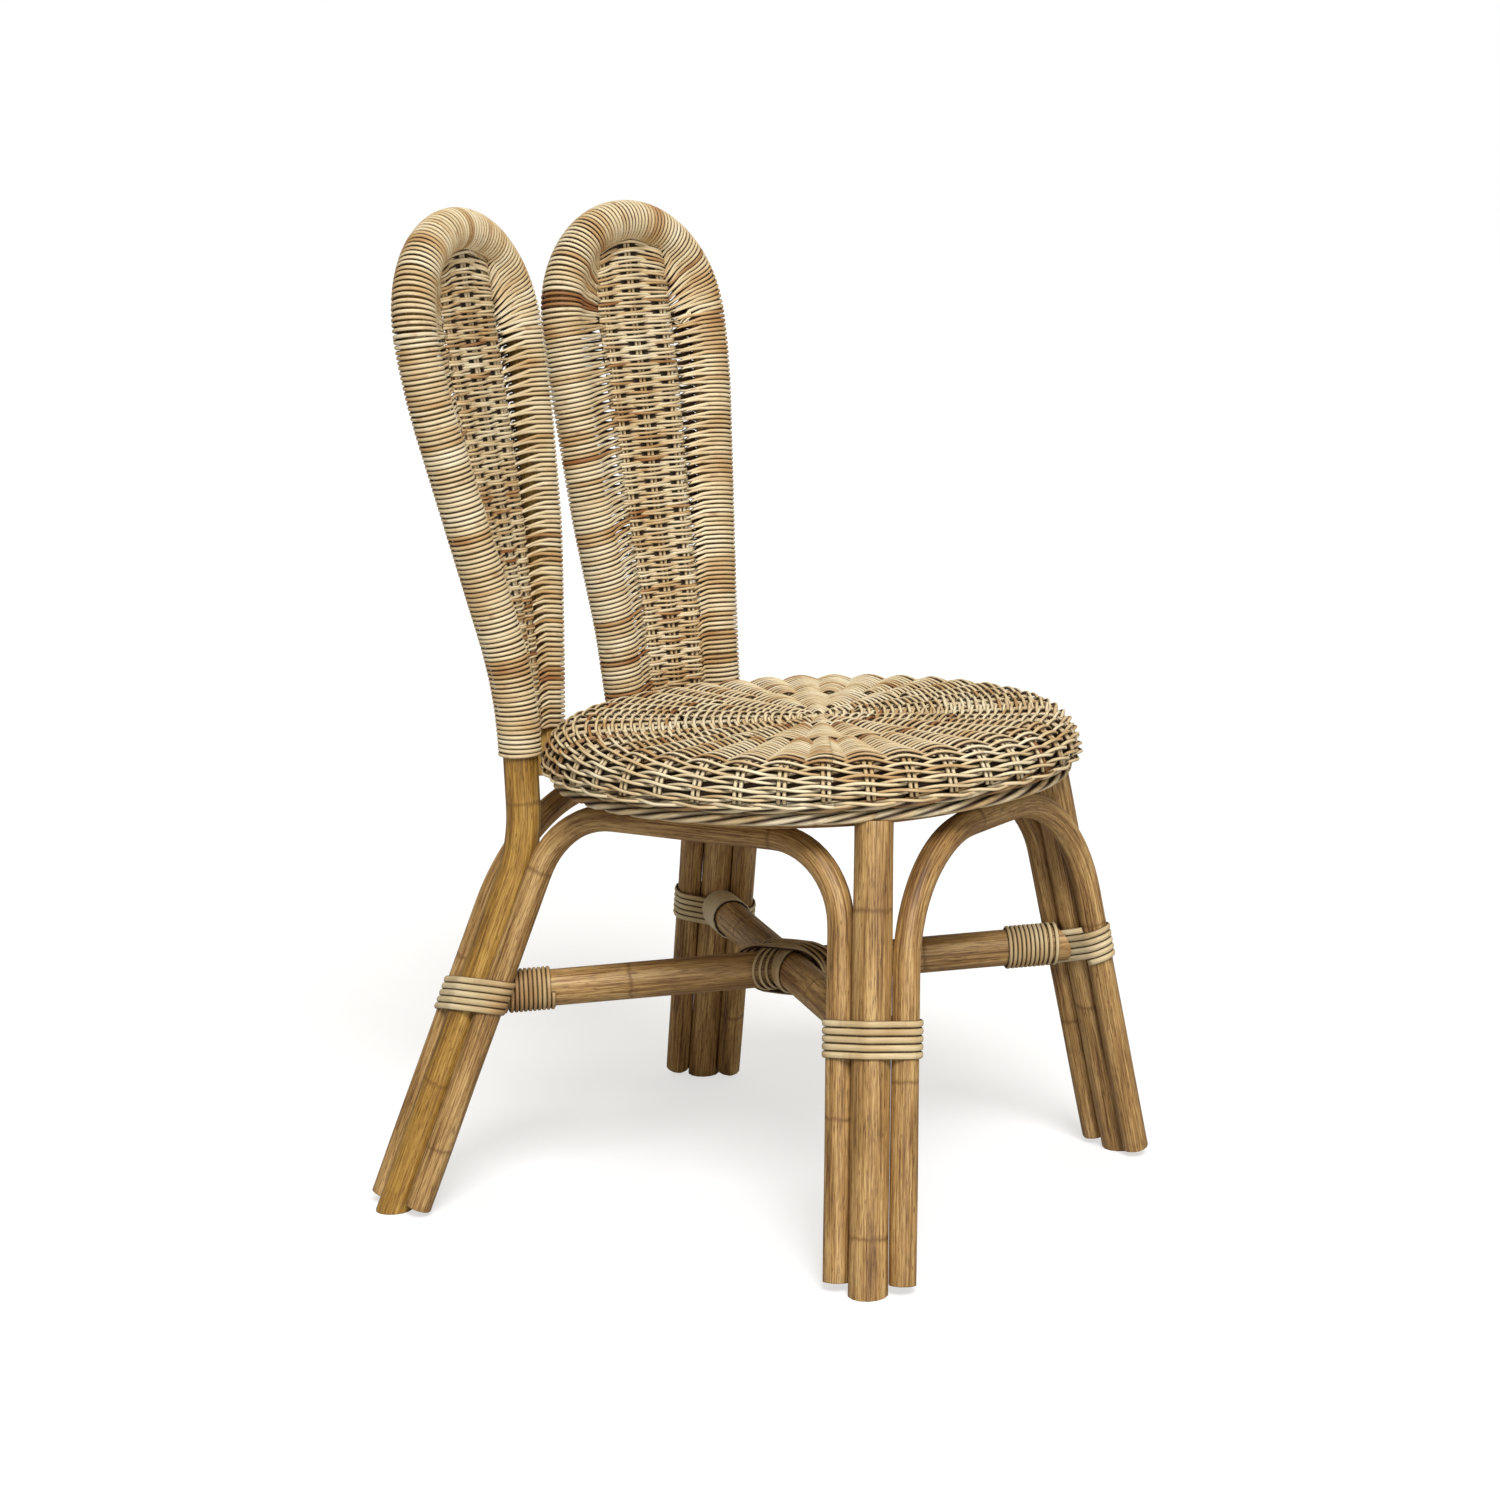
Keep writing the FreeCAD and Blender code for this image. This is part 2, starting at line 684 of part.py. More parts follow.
make_seat()
cross_bend = size("cross_arch_bend_radius")
side_bend = size("side_arch_bend_radius")
make_arch("front_arch", cross_bend, (front_leg, -1, -1), (front_leg, -1, 1))
make_arch("back_arch", cross_bend, (back_leg, 1, -1), (back_leg, 1, 1))
for side_name, side in SIDES.items():
    make_front_leg(side_name)
    make_arch(f"{side_name}_arch", side_bend, (front_leg, 1, side), (back_leg, -1, side))
    make_stretcher(f"{side_name}_front_stretcher", side, side_name == "left")
make_ears()
make_leg_lashings()
make_stretcher_lashings()

doc.recompute()
for item in doc.Objects:
    if "Invalid" in item.State or "Error" in item.State:
        raise SystemExit(f"{item.Label} failed: {item.State}")
for name, item in parts.items():
    if item.Shape.isNull() or not item.Shape.isValid() or not item.Shape.Solids:
        raise SystemExit(f"{name} has no valid shape")
    item.Shape.exportStep(f"parts/{name}.step")
    print(name, len(item.Shape.Solids), "solid,", round(item.Shape.Volume / 1000, 1), "ml")
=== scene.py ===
import math
import bpy
import numpy as np
from mathutils import Matrix, Vector


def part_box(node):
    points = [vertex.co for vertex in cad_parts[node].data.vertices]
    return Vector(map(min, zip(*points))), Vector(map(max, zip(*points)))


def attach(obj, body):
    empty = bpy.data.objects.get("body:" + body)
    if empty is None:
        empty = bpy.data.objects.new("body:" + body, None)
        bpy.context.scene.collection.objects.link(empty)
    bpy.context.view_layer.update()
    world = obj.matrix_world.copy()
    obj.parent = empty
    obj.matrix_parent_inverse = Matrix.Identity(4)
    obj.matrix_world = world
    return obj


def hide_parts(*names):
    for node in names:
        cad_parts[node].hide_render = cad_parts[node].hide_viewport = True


# A child's rattan chair: woven seat and back loops, bent poles and cane lashings.
# Metres, +Z up. The chair faces -Y, and its left is the -X side.

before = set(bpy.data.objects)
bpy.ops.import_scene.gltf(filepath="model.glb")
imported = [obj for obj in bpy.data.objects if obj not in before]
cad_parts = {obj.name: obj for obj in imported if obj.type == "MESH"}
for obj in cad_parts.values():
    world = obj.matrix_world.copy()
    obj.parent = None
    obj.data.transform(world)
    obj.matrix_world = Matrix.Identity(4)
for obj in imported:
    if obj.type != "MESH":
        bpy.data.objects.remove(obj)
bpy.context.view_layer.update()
chance = np.random.default_rng(7)


# Places read from the frame

def node_box(node):
    low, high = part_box(node)
    return np.array(low), np.array(high)


SEAT_LOW, SEAT_HIGH = node_box("seat_weave")
BORDER_LOW, BORDER_HIGH = node_box("seat_border")
HOOP_LOW, HOOP_HIGH = node_box("seat_hoop")
SEAT_TOP = SEAT_HIGH[2]
SEAT_RADIUS = SEAT_HIGH[0]
UNDERSIDE = HOOP_LOW[2]
EAR_TOP = node_box("right_ear_wrap")[1][2]

# Where the poles run
SIDES = {"left": -1, "right": 1}
CLEARANCE = 0.00015
FRONT_POLE_RADIUS = 0.01175
BACK_POLE_RADIUS = 0.011
ARCH_POLE_RADIUS = 0.00825
STRETCHER_RADIUS = 0.01175
FRONT_TOP = np.array([0.10474, -0.11153, BORDER_LOW[2] - CLEARANCE])
FRONT_FOOT = np.array([0.15899, -0.13198, 0])
BACK_BEND_DROP = 0.03
BACK_TOP = np.array([0.11089, 0.14451, UNDERSIDE - BACK_BEND_DROP])
BACK_FOOT = np.array([0.17349, 0.21651, 0])
BACK_BEND_RADIUS = 0.12
RAIL_RADIUS = SEAT_RADIUS + BACK_POLE_RADIUS + CLEARANCE
ROW_ANGLE = math.radians(20)
CROSS_ARCH_BEND_RADIUS = 0.088
SIDE_ARCH_BEND_RADIUS = 0.053
ARCH_LEVEL = UNDERSIDE - CLEARANCE - ARCH_POLE_RADIUS
ARCH_FOOT_LEVEL = 0.005
FOOT_TRIM = 0.008
FOOT_LEVEL = 0.0001

# How a pole is made
POLE_SIDES = 14
POLE_STEP = 0.006
POLE_FULLNESS = 1.01
POLE_WOBBLE = 0.0075
POLE_WAVES = (0.031, 0.017)
POLE_EDGE_SHARE = 0.28
POLE_EDGE_STEPS = 3
POLE_EDGE_ANGLE = math.radians(60)
MERGE_DISTANCE = 0.00001

# Rings: how far apart they are on a pole, and how far along it the first one is
RING_SPACING = 0.19
FRONT_RINGS = {"left": 0.042, "right": 0.115}
BACK_RING = 0.098
STRETCHER_RING = 0.09
HOOP_RING = 0.11

# How far the grain is moved by chance from one piece to the next
GRAIN_SEEDS = 9
GRAIN_STARTS = 5

# Lashings; a slant is how much the cane climbs over a length across the leg
FRONT_LASHING_LEVEL = 0.146
BACK_LASHING_LEVEL = 0.1385
LEG_CANE_WIDTH = 0.0042
LEG_CANE_THICKNESS = 0.0022
LEG_CANE_PITCH = 0.0046
LEG_CANE_TURNS = 5
LEG_CANE_BUILD = LEG_CANE_THICKNESS + 2 * CLEARANCE
LEG_CANE_SLANTS = {"front": {"left": 0.02, "right": 0.25}, "back": {"left": -0.3, "right": 0.0}}
FINE_CANE_THICKNESS = 0.0022
FINE_CANE_RING = STRETCHER_RADIUS + CLEARANCE + FINE_CANE_THICKNESS / 2
END_CANE_WIDTH = 0.0027
END_CANE_TURNS = 11
END_CANE_OPEN_TURNS = 2
END_CANE_PLACES = (0.0005, 0.0085, 0.0346)
CROSSING_CANE_WIDTH = 0.0026
CROSSING_CANE_TURNS = 7
CROSSING_CANE_PITCH = 0.0031
CROSSING_CANE_EASE = 6

# Back loops; the shares say how far up, sideways and back each corner of a rail lies
WRAP_THICKNESS = 0.0028
WRAP_RADIUS = BACK_POLE_RADIUS + WRAP_THICKNESS
EAR_INNER_X = 0.0485
EAR_FLARE_OUT = 0.042
EAR_FLARE_IN = 0.027
EAR_LEAN_OUT = 0.033
EAR_LEAN_IN = 0.023
EAR_BEND_RADIUS = 0.3
EAR_END_RISE = 0.001
EAR_WRAP_RISE = 0.0265
EAR_WRAP_START = UNDERSIDE + EAR_WRAP_RISE
OUTER_RAIL_SHARES = [(0.07, 0.0, 0.03), (0.70, 1.0, 0.85)]
INNER_RAIL_SHARES = [(0.66, 1.0, 0.80), (0.37, 0.78, 0.42), (0.12, 0.34, 0.14)]
DOME_RISE_SHARE = 0.78
DOME_CORNER = 30

# The cane wound on the loops
WRAP_STRAND = 0.0027
WRAP_STRAND_THICKNESS = WRAP_STRAND * 0.9
WRAP_WIDTHS = (0.9, 1.1)
WRAP_PITCH = 0.00305
WRAP_STEPS = 24
WRAP_PATH_STEP = 0.002
WRAP_LAY_RADIUS = WRAP_RADIUS - WRAP_STRAND / 2 + 0.0003
WRAP_SCATTER = 0.0002
WRAP_END_MARGIN = 0.0015
TIP_GAP = 0.003
DRAWN_START_SHARE = 0.35
DRAWN_LEAST_SHARE = 1.1
DRAWN_BEND_HEIGHT = 0.0022
DRAWN_TIP_HEIGHT = 0.0011
DRAWN_TAPER = 0.36
DRAWN_GROWTH = 0.45
LEAST_DRAW, FULL_DRAW = 0.004, 0.02
LEAST_MEETING = 0.2
LOOSE_DROOP, TIGHT_DROOP = -0.0045, 0.001
LOOSE_MEETING_SHARE, TIGHT_MEETING_SHARE = 0.46, 0.2

# The woven field in each loop
FIELD_STRAND = 0.0021
FIELD_WIDTHS = (0.95, 1.1)
ROW_PITCH = 0.00305
STAKE_RADIUS = 0.0014
STAKE_SPREAD = STAKE_RADIUS * 1.2
STAKE_TOP_REACH = 0.002
STAKE_POINTS = 90
STAKE_MARGIN_SHARE = 0.01
LOW_STAKE_SHARES = np.array([0.245, 0.455, 0.66])
HIGH_STAKE_SHARES = np.array([0.305, 0.51, 0.695])
FIELD_RISE = 0.004
FIELD_END_REACH = 2.4 * TIP_GAP
FIELD_WANDER = 0.0005
FIELD_SCATTER = 0.0002
FIELD_STEP = 0.003
DOME_ROW_BOW = 0.18
DOME_ROW_FORWARD = 0.4
DOME_ROWS_PAST = 0.008
DOME_ROW_END_REACH = 0.006
# The dark sheet of painted shade between the stakes
FIELD_SHADE_SHEET_THICKNESS = 0.0008

# The seat
SEAT_SHOULDER_REACH = 0.026
SEAT_FLAT_RADIUS = SEAT_RADIUS - SEAT_SHOULDER_REACH
SEAT_SHOULDER_DROP = 0.0275
SEAT_FOOT_DROP = 0.0008
SEAT_PROFILE_STEP = 0.001
SEAT_STRAND = 0.0023
SEAT_WIDTHS = (0.9, 1.08)
SEAT_ROW_PITCH = 0.0054
SEAT_INSET = SEAT_STRAND * 1.2 + STAKE_RADIUS
SEAT_LIFT = STAKE_RADIUS + SEAT_STRAND * 0.7
SEAT_SLIP = SEAT_STRAND * 0.53
SEAT_WANDER, SEAT_RIPPLE = 0.0004, 0.0003
SEAT_CENTRE_SHIFT = np.array([-0.0016, -0.0084, 0])
UNDERSIDE_LEVEL = SEAT_LOW[2] + STAKE_RADIUS + 0.003
UNDERSIDE_REACH = BORDER_HIGH[0] - 0.006
UNDERSIDE_POINTS = 150
TOP_ROWS_START, SIDE_ROWS_START, UNDERSIDE_ROWS_START = 0.008, 0.002, 0.01
SPOKES = 40
FEWER_SPOKES_RADIUS = 0.085
FEWEST_SPOKES_RADIUS = 0.03
SPOKE_STEP = 0.005
SPOKE_SPREAD = STAKE_RADIUS * 1.25
SPOKE_LEAST_RADIUS = 0.01
UNDERSIDE_SPOKES_START = 0.006
MIDDLE_RADIUS = 0.004
MIDDLE_REACH = 0.012
MIDDLE_RISE = 0.0012
MIDDLE_SINK = 0.0022
MIDDLE_STRAND_RISE = 0.0003
MIDDLE_STRAND_TURN = 22.5
# The dark sheet of painted shade inside the seat's drum
SHADE_SHEET_SIDES = 96
SHADE_SHEET_SKIP = 12
SHADE_SHEET_INSET = 0.003
SHADE_SHEET_LEAST_RADIUS = 0.01
SHADE_SHEET_LEVEL = SEAT_LOW[2] + 0.007

# The border and the hem, each laid like a rope
BORDER_DEPTH = 0.013
BORDER_STRAND, BORDER_STRANDS, BORDER_ROLLS = 0.0041, 4, 10
HEM_OUT, HEM_IN, HEM_RISE = 0.0035, 0.0065, 0.0076
HEM_STRAND, HEM_STRANDS, HEM_ROLLS = 0.0037, 3, 12
ROPE_WIDTHS = (0.92, 1.06)
ROPE_THICKNESS_SHARE = 0.94
ROPE_STEPS = 360
ROPE_LENGTHS = 6


# Paths

def unit(vectors):
    vectors = np.asarray(vectors, float)
    return vectors / np.linalg.norm(vectors, axis=-1, keepdims=True)


def squared(vectors, ahead):
    """Unit vectors square to ahead, as near to the given ones as they can be."""
    return unit(vectors - ahead * np.sum(vectors * ahead, axis=-1, keepdims=True))


def mirrored(points, side):
    return np.asarray(points, float) * [side, 1, 1]


def read_off(rows, marks, places):
    """Rows of three numbers, read off at places between their marks."""
    return np.stack([np.interp(places, marks, rows[:, k]) for k in range(3)], axis=-1)


def lengths_along(points):
    steps = np.linalg.norm(np.diff(points, axis=0), axis=1)
    return np.concatenate([[0], np.cumsum(steps)])


def evenly(points, step):
    """The same line, with points evenly spaced along it."""
    points = np.asarray(points, float)
    along = lengths_along(points)
    places = np.linspace(0, along[-1], max(2, round(along[-1] / step) + 1))
    return read_off(points, along, places)


def rounded(corners, bends):
    """Points along straight runs with an arc round each inner corner."""
    corners = [np.asarray(corner, float) for corner in corners]
    points = [corners[0]]
    for k, bend in enumerate(bends, start=1):
        back = unit(corners[k - 1] - corners[k])
        ahead = unit(corners[k + 1] - corners[k])
        turn = math.pi - math.acos(np.clip(back @ ahead, -1, 1))
        outward = -unit(back + ahead)
        onward = unit(ahead - back)
        centre = corners[k] - outward * bend / math.cos(turn / 2)
        steps = max(2, math.ceil(turn * bend / POLE_STEP))
        for angle in np.linspace(-turn / 2, turn / 2, steps + 1):
            points.append(centre + bend * (outward * math.cos(angle) + onward * math.sin(angle)))
    points.append(corners[-1])
    return evenly(points, POLE_STEP)


def tangents(points):
    return unit(np.gradient(points, axis=0))


def carried_frames(points):
    """Two directions square to a line that turn with it and don't twist."""
    ahead = tangents(points)
    along_no_pole = [0.31, 0.95, 0.02]
    side = np.cross(ahead[0], along_no_pole)
    sides = []
    for direction in ahead:
        side = squared(side, direction)
        sides.append(side)
    sides = np.array(sides)
    return ahead, sides, np.cross(ahead, sides)


# Meshes

def deselect():
    bpy.ops.object.select_all(action="DESELECT")


def give_attribute(mesh, name, kind, values):
    field = "vector" if kind == "FLOAT_VECTOR" else "value"
    data = mesh.attributes.new(name, kind, "POINT").data
    data.foreach_set(field, np.asarray(values, np.float32).ravel())


def point_places(mesh):
    places = np.empty(len(mesh.vertices) * 3)
    mesh.vertices.foreach_get("co", places)
    return places.reshape(-1, 3)


def linked(name, data):
    """A new object in the scene that holds a mesh, a lamp's light or a camera."""
    made = bpy.data.objects.new(name, data)
    bpy.context.scene.collection.objects.link(made)
    return made


class Weave:
    """Many strands of cane in one mesh, each closed, with its own tone and grain."""

    def __init__(self, name, slot="woven_cane"):
        self.name = name
        self.slot = slot
        self.points = []
        self.faces = []
        self.grain = []
        self.tones = []
        self.painted_shade_crests = []
        self.count = 0

    def strand(self, line, facing, width, thickness=None, sides=6, both=False):
        """One strand along a line; facing is the way its outer side looks.

        The crest is 1 along the middle of the outer side, and with both, of the inner side too; the
        finish paints shade where it is lower.
        """
        line = np.asarray(line, float)
        facing = np.broadcast_to(np.asarray(facing, float), line.shape)
        thickness = width if thickness is None else thickness
        half_width = np.broadcast_to(np.asarray(width, float) / 2, len(line))[:, None]
        half_thickness = np.broadcast_to(np.asarray(thickness, float) / 2, len(line))[:, None]
        ahead = tangents(line)
        out = squared(facing, ahead)
        across = np.cross(ahead, out)
        angles = 2 * math.pi * np.arange(sides) / sides
        offset = (across[:, None] * (np.cos(angles) * half_width)[..., None]
                  + out[:, None] * (np.sin(angles) * half_thickness)[..., None])
        self.points.append((line[:, None] + offset).reshape(-1, 3))
        along = lengths_along(line) + chance.uniform(0, GRAIN_STARTS)
        seed = chance.uniform(0, GRAIN_SEEDS)
        grain = np.stack(np.broadcast_arrays(np.cos(angles) * half_width + seed,
                                             np.sin(angles) * half_width, along[:, None]), axis=-1)
        self.grain.append(grain.reshape(-1, 3))
        self.tones.append(np.full(len(line) * sides, chance.uniform()))
        # The mask for painted shade: low on the strand's flanks and, without both, over its inner
        # side.
        crest = np.abs(np.sin(angles)) if both else np.sin(angles)
        self.painted_shade_crests.append(np.tile(crest, len(line)))
        self._skin(len(line), sides)

    def _skin(self, rings, sides):
        """Faces round the newest strand and over its two ends."""
        rows = self.count + np.arange(rings - 1)[:, None] * sides + np.arange(sides)
        turned = np.roll(rows, -1, axis=1)
        quads = np.stack([rows, rows + sides, turned + sides, turned], axis=-1).reshape(-1, 4)
        last = self.count + (rings - 1) * sides
        self.faces.extend(quads.tolist())
        self.faces.append(list(range(self.count, self.count + sides)))
        self.faces.append(list(range(last + sides - 1, last - 1, -1)))
        self.count += rings * sides

    def finish(self, finish, *nodes):
        mesh = bpy.data.meshes.new(self.name)
        mesh.from_pydata(np.concatenate(self.points), [], self.faces)
        give_attribute(mesh, "grain", "FLOAT_VECTOR", np.concatenate(self.grain))
        give_attribute(mesh, "tone", "FLOAT", np.concatenate(self.tones))
        give_attribute(mesh, "crest", "FLOAT", np.concatenate(self.painted_shade_crests))
        mesh.shade_smooth()
        mesh.materials.append(finish)
        piece = linked(self.name, mesh)
        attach(piece, "root")
        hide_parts(*nodes)


def swept_rod(line, radius):
    """A rod along a line, whose thickness wanders a little."""
    deselect()
    bpy.ops.curve.primitive_bezier_curve_add()
    curve = bpy.context.object.data
    curve.splines.clear()
    spline = curve.splines.new("POLY")
    spline.points.add(len(line) - 1)
    along = lengths_along(line)
    starts = chance.uniform(0, 2 * math.pi, 3)
    waves = sum(np.sin(along / length + start) for length, start in zip(POLE_WAVES, starts))
    for point, place, wave in zip(spline.points, line, waves):
        point.co = (*place, 1)
        point.radius = POLE_FULLNESS + POLE_WOBBLE * wave
    curve.dimensions = "3D"
    curve.bevel_depth = radius
    curve.bevel_resolution = POLE_SIDES // 2 - 2
    curve.use_fill_caps = True
    bpy.ops.object.convert(target="MESH")
    return bpy.context.object


def trim_rod(rod, radius):
    """Closes a rod, cuts it flat where it stands on the floor and rounds the rims of its ends."""
    bpy.ops.object.mode_set(mode="EDIT")
    bpy.ops.mesh.select_all(action="SELECT")
    bpy.ops.mesh.remove_doubles(threshold=MERGE_DISTANCE)
    bpy.ops.mesh.normals_make_consistent(inside=False)
    bpy.ops.mesh.select_all(action="SELECT")
    bpy.ops.mesh.bisect(plane_co=(0, 0, FOOT_LEVEL), plane_no=(0, 0, 1), use_fill=True,
                        clear_inner=True)
    bpy.ops.object.mode_set(mode="OBJECT")
    bpy.ops.object.modifier_add(type="BEVEL")
    edge = rod.modifiers[-1]
    edge.width = radius * POLE_EDGE_SHARE
    edge.segments = POLE_EDGE_STEPS
    edge.limit_method = "ANGLE"
    edge.angle_limit = POLE_EDGE_ANGLE
    bpy.ops.object.modifier_apply(modifier=edge.name)
    bpy.ops.object.shade_smooth()


def give_pole_grain(mesh, line, ring):
    """The grain of a pole's points: two places across the wood, and one along it from a ring."""
    places = point_places(mesh)
    ahead, side, other = carried_frames(line)
    nearest = np.argmin(np.linalg.norm(places[:, None] - line[None], axis=2), axis=1)
    away = places - line[nearest]
    seed = chance.uniform(0, GRAIN_SEEDS)
    grain = np.stack([np.sum(away * side[nearest], axis=1) + seed,
                      np.sum(away * other[nearest], axis=1),
                      (lengths_along(line)[nearest] + np.sum(away * ahead[nearest], axis=1)
                       - ring)], axis=1)
    give_attribute(mesh, "grain", "FLOAT_VECTOR", grain)


def make_pole(name, line, radius, finish, nodes, ring):
    """A rattan pole along a line; ring is how far along it the first ring is."""
    pole = swept_rod(line, radius)
    pole.name = name
    trim_rod(pole, radius)
    give_pole_grain(pole.data, line, ring)
    pole.data.materials.clear()
    pole.data.materials.append(finish)
    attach(pole, "root")
    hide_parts(*nodes)


# Finishes

class Wire:
    """A shader socket that takes part in sums."""

    def __init__(self, finish, socket):
        self.finish = finish
        self.socket = socket

    def _math(self, operation, *terms):
        return self.finish.node("ShaderNodeMath", {"operation": operation},
                                dict(enumerate(terms)))

    def __add__(self, other):
        return self._math("ADD", self, other)

    def __sub__(self, other):
        return self._math("SUBTRACT", self, other)

    def __rsub__(self, other):
        return self._math("SUBTRACT", other, self)

    def __mul__(self, other):
        return self._math("MULTIPLY", self, other)

    __radd__ = __add__
    __rmul__ = __mul__

    def clamped(self):
        return self.finish.node("ShaderNodeClamp", {}, {"Value": self})

    def stretched(self, low, high):
        """0 at low, 1 at high, and held between them."""
        return self.finish.node("ShaderNodeMapRange", {},
                                {"Value": self, "From Min": low, "From Max": high})


class Finish:
    """A procedural material, or the world, built up from its nodes."""

    def __init__(self, owner, shader="Principled BSDF"):
        self.owner = owner
        owner.use_nodes = True
        self.tree = owner.node_tree
        self.shader = self.tree.nodes[shader]

    def node(self, kind, settings, inputs, output=0):
        made = self.tree.nodes.new(kind)
        for key, value in settings.items():
            if key == "stops":
                for _ in value[2:]:
                    made.color_ramp.elements.new(0.5)
                for element, (place, colour) in zip(made.color_ramp.elements, value):
                    element.position = place
                    element.color = (*colour, 1)
            else:
                setattr(made, key, value)
        for key, value in inputs.items():
            if isinstance(value, Wire):
                self.tree.links.new(value.socket, made.inputs[key])
            else:
                made.inputs[key].default_value = value
        return Wire(self, made.outputs[output])

    def attribute(self, name, output="Fac"):
        return self.node("ShaderNodeAttribute", {"attribute_name": name}, {}, output)

    def stretch(self, grain, across, along):
        """The grain's places, scaled across the wood and along it."""
        return self.node("ShaderNodeMapping", {},
                         {"Vector": grain, "Scale": (across, across, along)})

    def noise(self, vector, scale, detail, roughness=0.5):
        return self.node("ShaderNodeTexNoise", {},
                         {"Vector": vector, "Scale": scale, "Detail": detail, "Roughness": roughness})

    def streaks(self, grain, across, along, detail, roughness=0.5):
        """Noise that changes about so many times a metre across the wood and along it."""
        return self.noise(self.stretch(grain, across, along), 1, detail, roughness)

    def mix(self, factor, first, second, blend="MIX"):
        """Two colours mixed; the Mix node's sockets for colours are its last."""
        made = self.node("ShaderNodeMix", {"data_type": "RGBA", "blend_type": blend}, {0: factor}, 2)
        for key, value in ((6, first), (7, second)):
            socket = made.socket.node.inputs[key]
            if isinstance(value, Wire):
                self.tree.links.new(value.socket, socket)
            else:
                socket.default_value = (*value, 1)
        return made

    def ramp(self, factor, stops):
        return self.node("ShaderNodeValToRGB", {"stops": stops}, {"Fac": factor})

    def bump(self, height, strength, distance):
        return self.node("ShaderNodeBump", {}, {"Height": height, "Strength": strength,
                                                "Distance": distance})

    def use(self, **values):
        for key, value in values.items():
            socket = self.shader.inputs[key.replace("_", " ")]
            if isinstance(value, Wire):
                self.tree.links.new(value.socket, socket)
            else:
                socket.default_value = value
        return self.owner


def new_finish(name):
    return Finish(bpy.data.materials.new(name))


def colour(red, green, blue):
    """A colour as it looks on a screen, 0 to 255, in the shader's own linear scale."""
    return tuple((value / 255 / 12.92) if value < 10 else ((value / 255 + 0.055) / 1.055) ** 2.4
                 for value in (red, green, blue))


# The colour of the painted shade in the grooves between strands and on their inner sides.
SHADE = colour(70, 44, 22)


def wicker_finish(name, pale, middle, warm, deep):
    """Split cane: each strand has a tone of its own, long fibres, now and then a stain, and painted
    shade on its flanks.
    """
    finish = new_finish(name)
    grain = finish.attribute("grain", "Vector")
    tone = finish.attribute("tone")
    crest = finish.attribute("crest")
    place = finish.node("ShaderNodeTexCoord", {}, {}, "Object")
    drift = finish.streaks(grain, across=1, along=30, detail=2)
    patch = finish.noise(place, scale=24, detail=2)
    fibre = finish.streaks(grain, across=2600, along=60, detail=3)
    stain = finish.streaks(grain, across=1, along=75, detail=3)
    darker_few = tone.stretched(0.88, 1)
    shade = (tone * 0.34 + drift * 0.55 + patch * 0.85 + darker_few * 0.3 - 0.43).clamped()
    base = finish.ramp(shade, [(0.15, pale), (0.42, middle), (0.68, warm), (0.95, deep)])
    base = finish.mix(fibre.stretched(0.42, 0.75) * 0.4, base, deep, "MULTIPLY")
    base = finish.mix(stain.stretched(0.6, 0.74) * 0.6, base, deep)
    # Painted shade: the flanks and inner side of each strand darken towards SHADE, as in the grooves
    # between strands.
    base = finish.mix(crest.stretched(0.74, 0.0) * 0.97, base, SHADE, "MULTIPLY")
    return finish.use(Base_Color=base, Roughness=fibre * 0.3 + 0.42,
                      Normal=finish.bump(fibre, strength=0.35, distance=0.0004))


def pole_finish(name, light, middle, dark):
    """Peeled rattan: long fine fibres, dark pores, a thin line at each ring and a few knots."""
    finish = new_finish(name)
    grain = finish.attribute("grain", "Vector")
    fibre = finish.streaks(grain, across=900, along=20, detail=4, roughness=0.7)
    pores = finish.streaks(grain, across=2400, along=120, detail=2)
    broad = finish.streaks(grain, across=150, along=12, detail=3)
    uneven = finish.streaks(grain, across=160, along=160, detail=3)
    along = finish.node("ShaderNodeSeparateXYZ", {}, {"Vector": grain}, "Z")
    turns = along * (1 / RING_SPACING) + uneven * 0.03 + 0.485
    to_ring = finish.node("ShaderNodeMath", {"operation": "PINGPONG"}, {0: turns, 1: 0.5})
    ring = to_ring.stretched(0.488, 0.499)
    knot = finish.node("ShaderNodeTexVoronoi", {}, {"Vector": finish.stretch(grain, 38, 14)})
    shade = ((fibre - 0.5) * 1.9 + (broad - 0.5) * 1.2 + 0.45).clamped()
    base = finish.ramp(shade, [(0.12, light), (0.45, middle), (0.85, dark)])
    base = finish.mix(pores.stretched(0.52, 0.68) * 0.7, base, dark, "MULTIPLY")
    base = finish.mix(ring * 0.6, base, dark)
    base = finish.mix((knot + uneven * 0.12).stretched(0.2, 0.1) * 0.65, base, dark)
    return finish.use(Base_Color=base, Roughness=fibre * 0.25 + 0.42,
                      Normal=finish.bump(fibre * 0.7 + pores * 0.3, strength=0.3, distance=0.0006))


WICKER = wicker_finish("wicker", colour(248, 236, 202), colour(234, 214, 170),
                       colour(206, 170, 116), colour(156, 102, 54))
LASHING = wicker_finish("lashing_cane", colour(238, 224, 190), colour(220, 200, 156),
                        colour(190, 158, 108), colour(146, 104, 60))
POLE = pole_finish("rattan_pole", colour(208, 172, 114), colour(170, 131, 76), colour(100, 64, 26))
YELLOW_POLE = pole_finish("yellow_rattan_pole", colour(202, 162, 84), colour(168, 126, 52),
                          colour(110, 74, 26))
# A flat dark finish for the sheets of painted shade inside the seat and the loops.
SHADE_SHEET_FINISH = new_finish("painted_shade_sheet").use(Base_Color=(*colour(58, 42, 26), 1), Roughness=0.9)


# Legs and arches

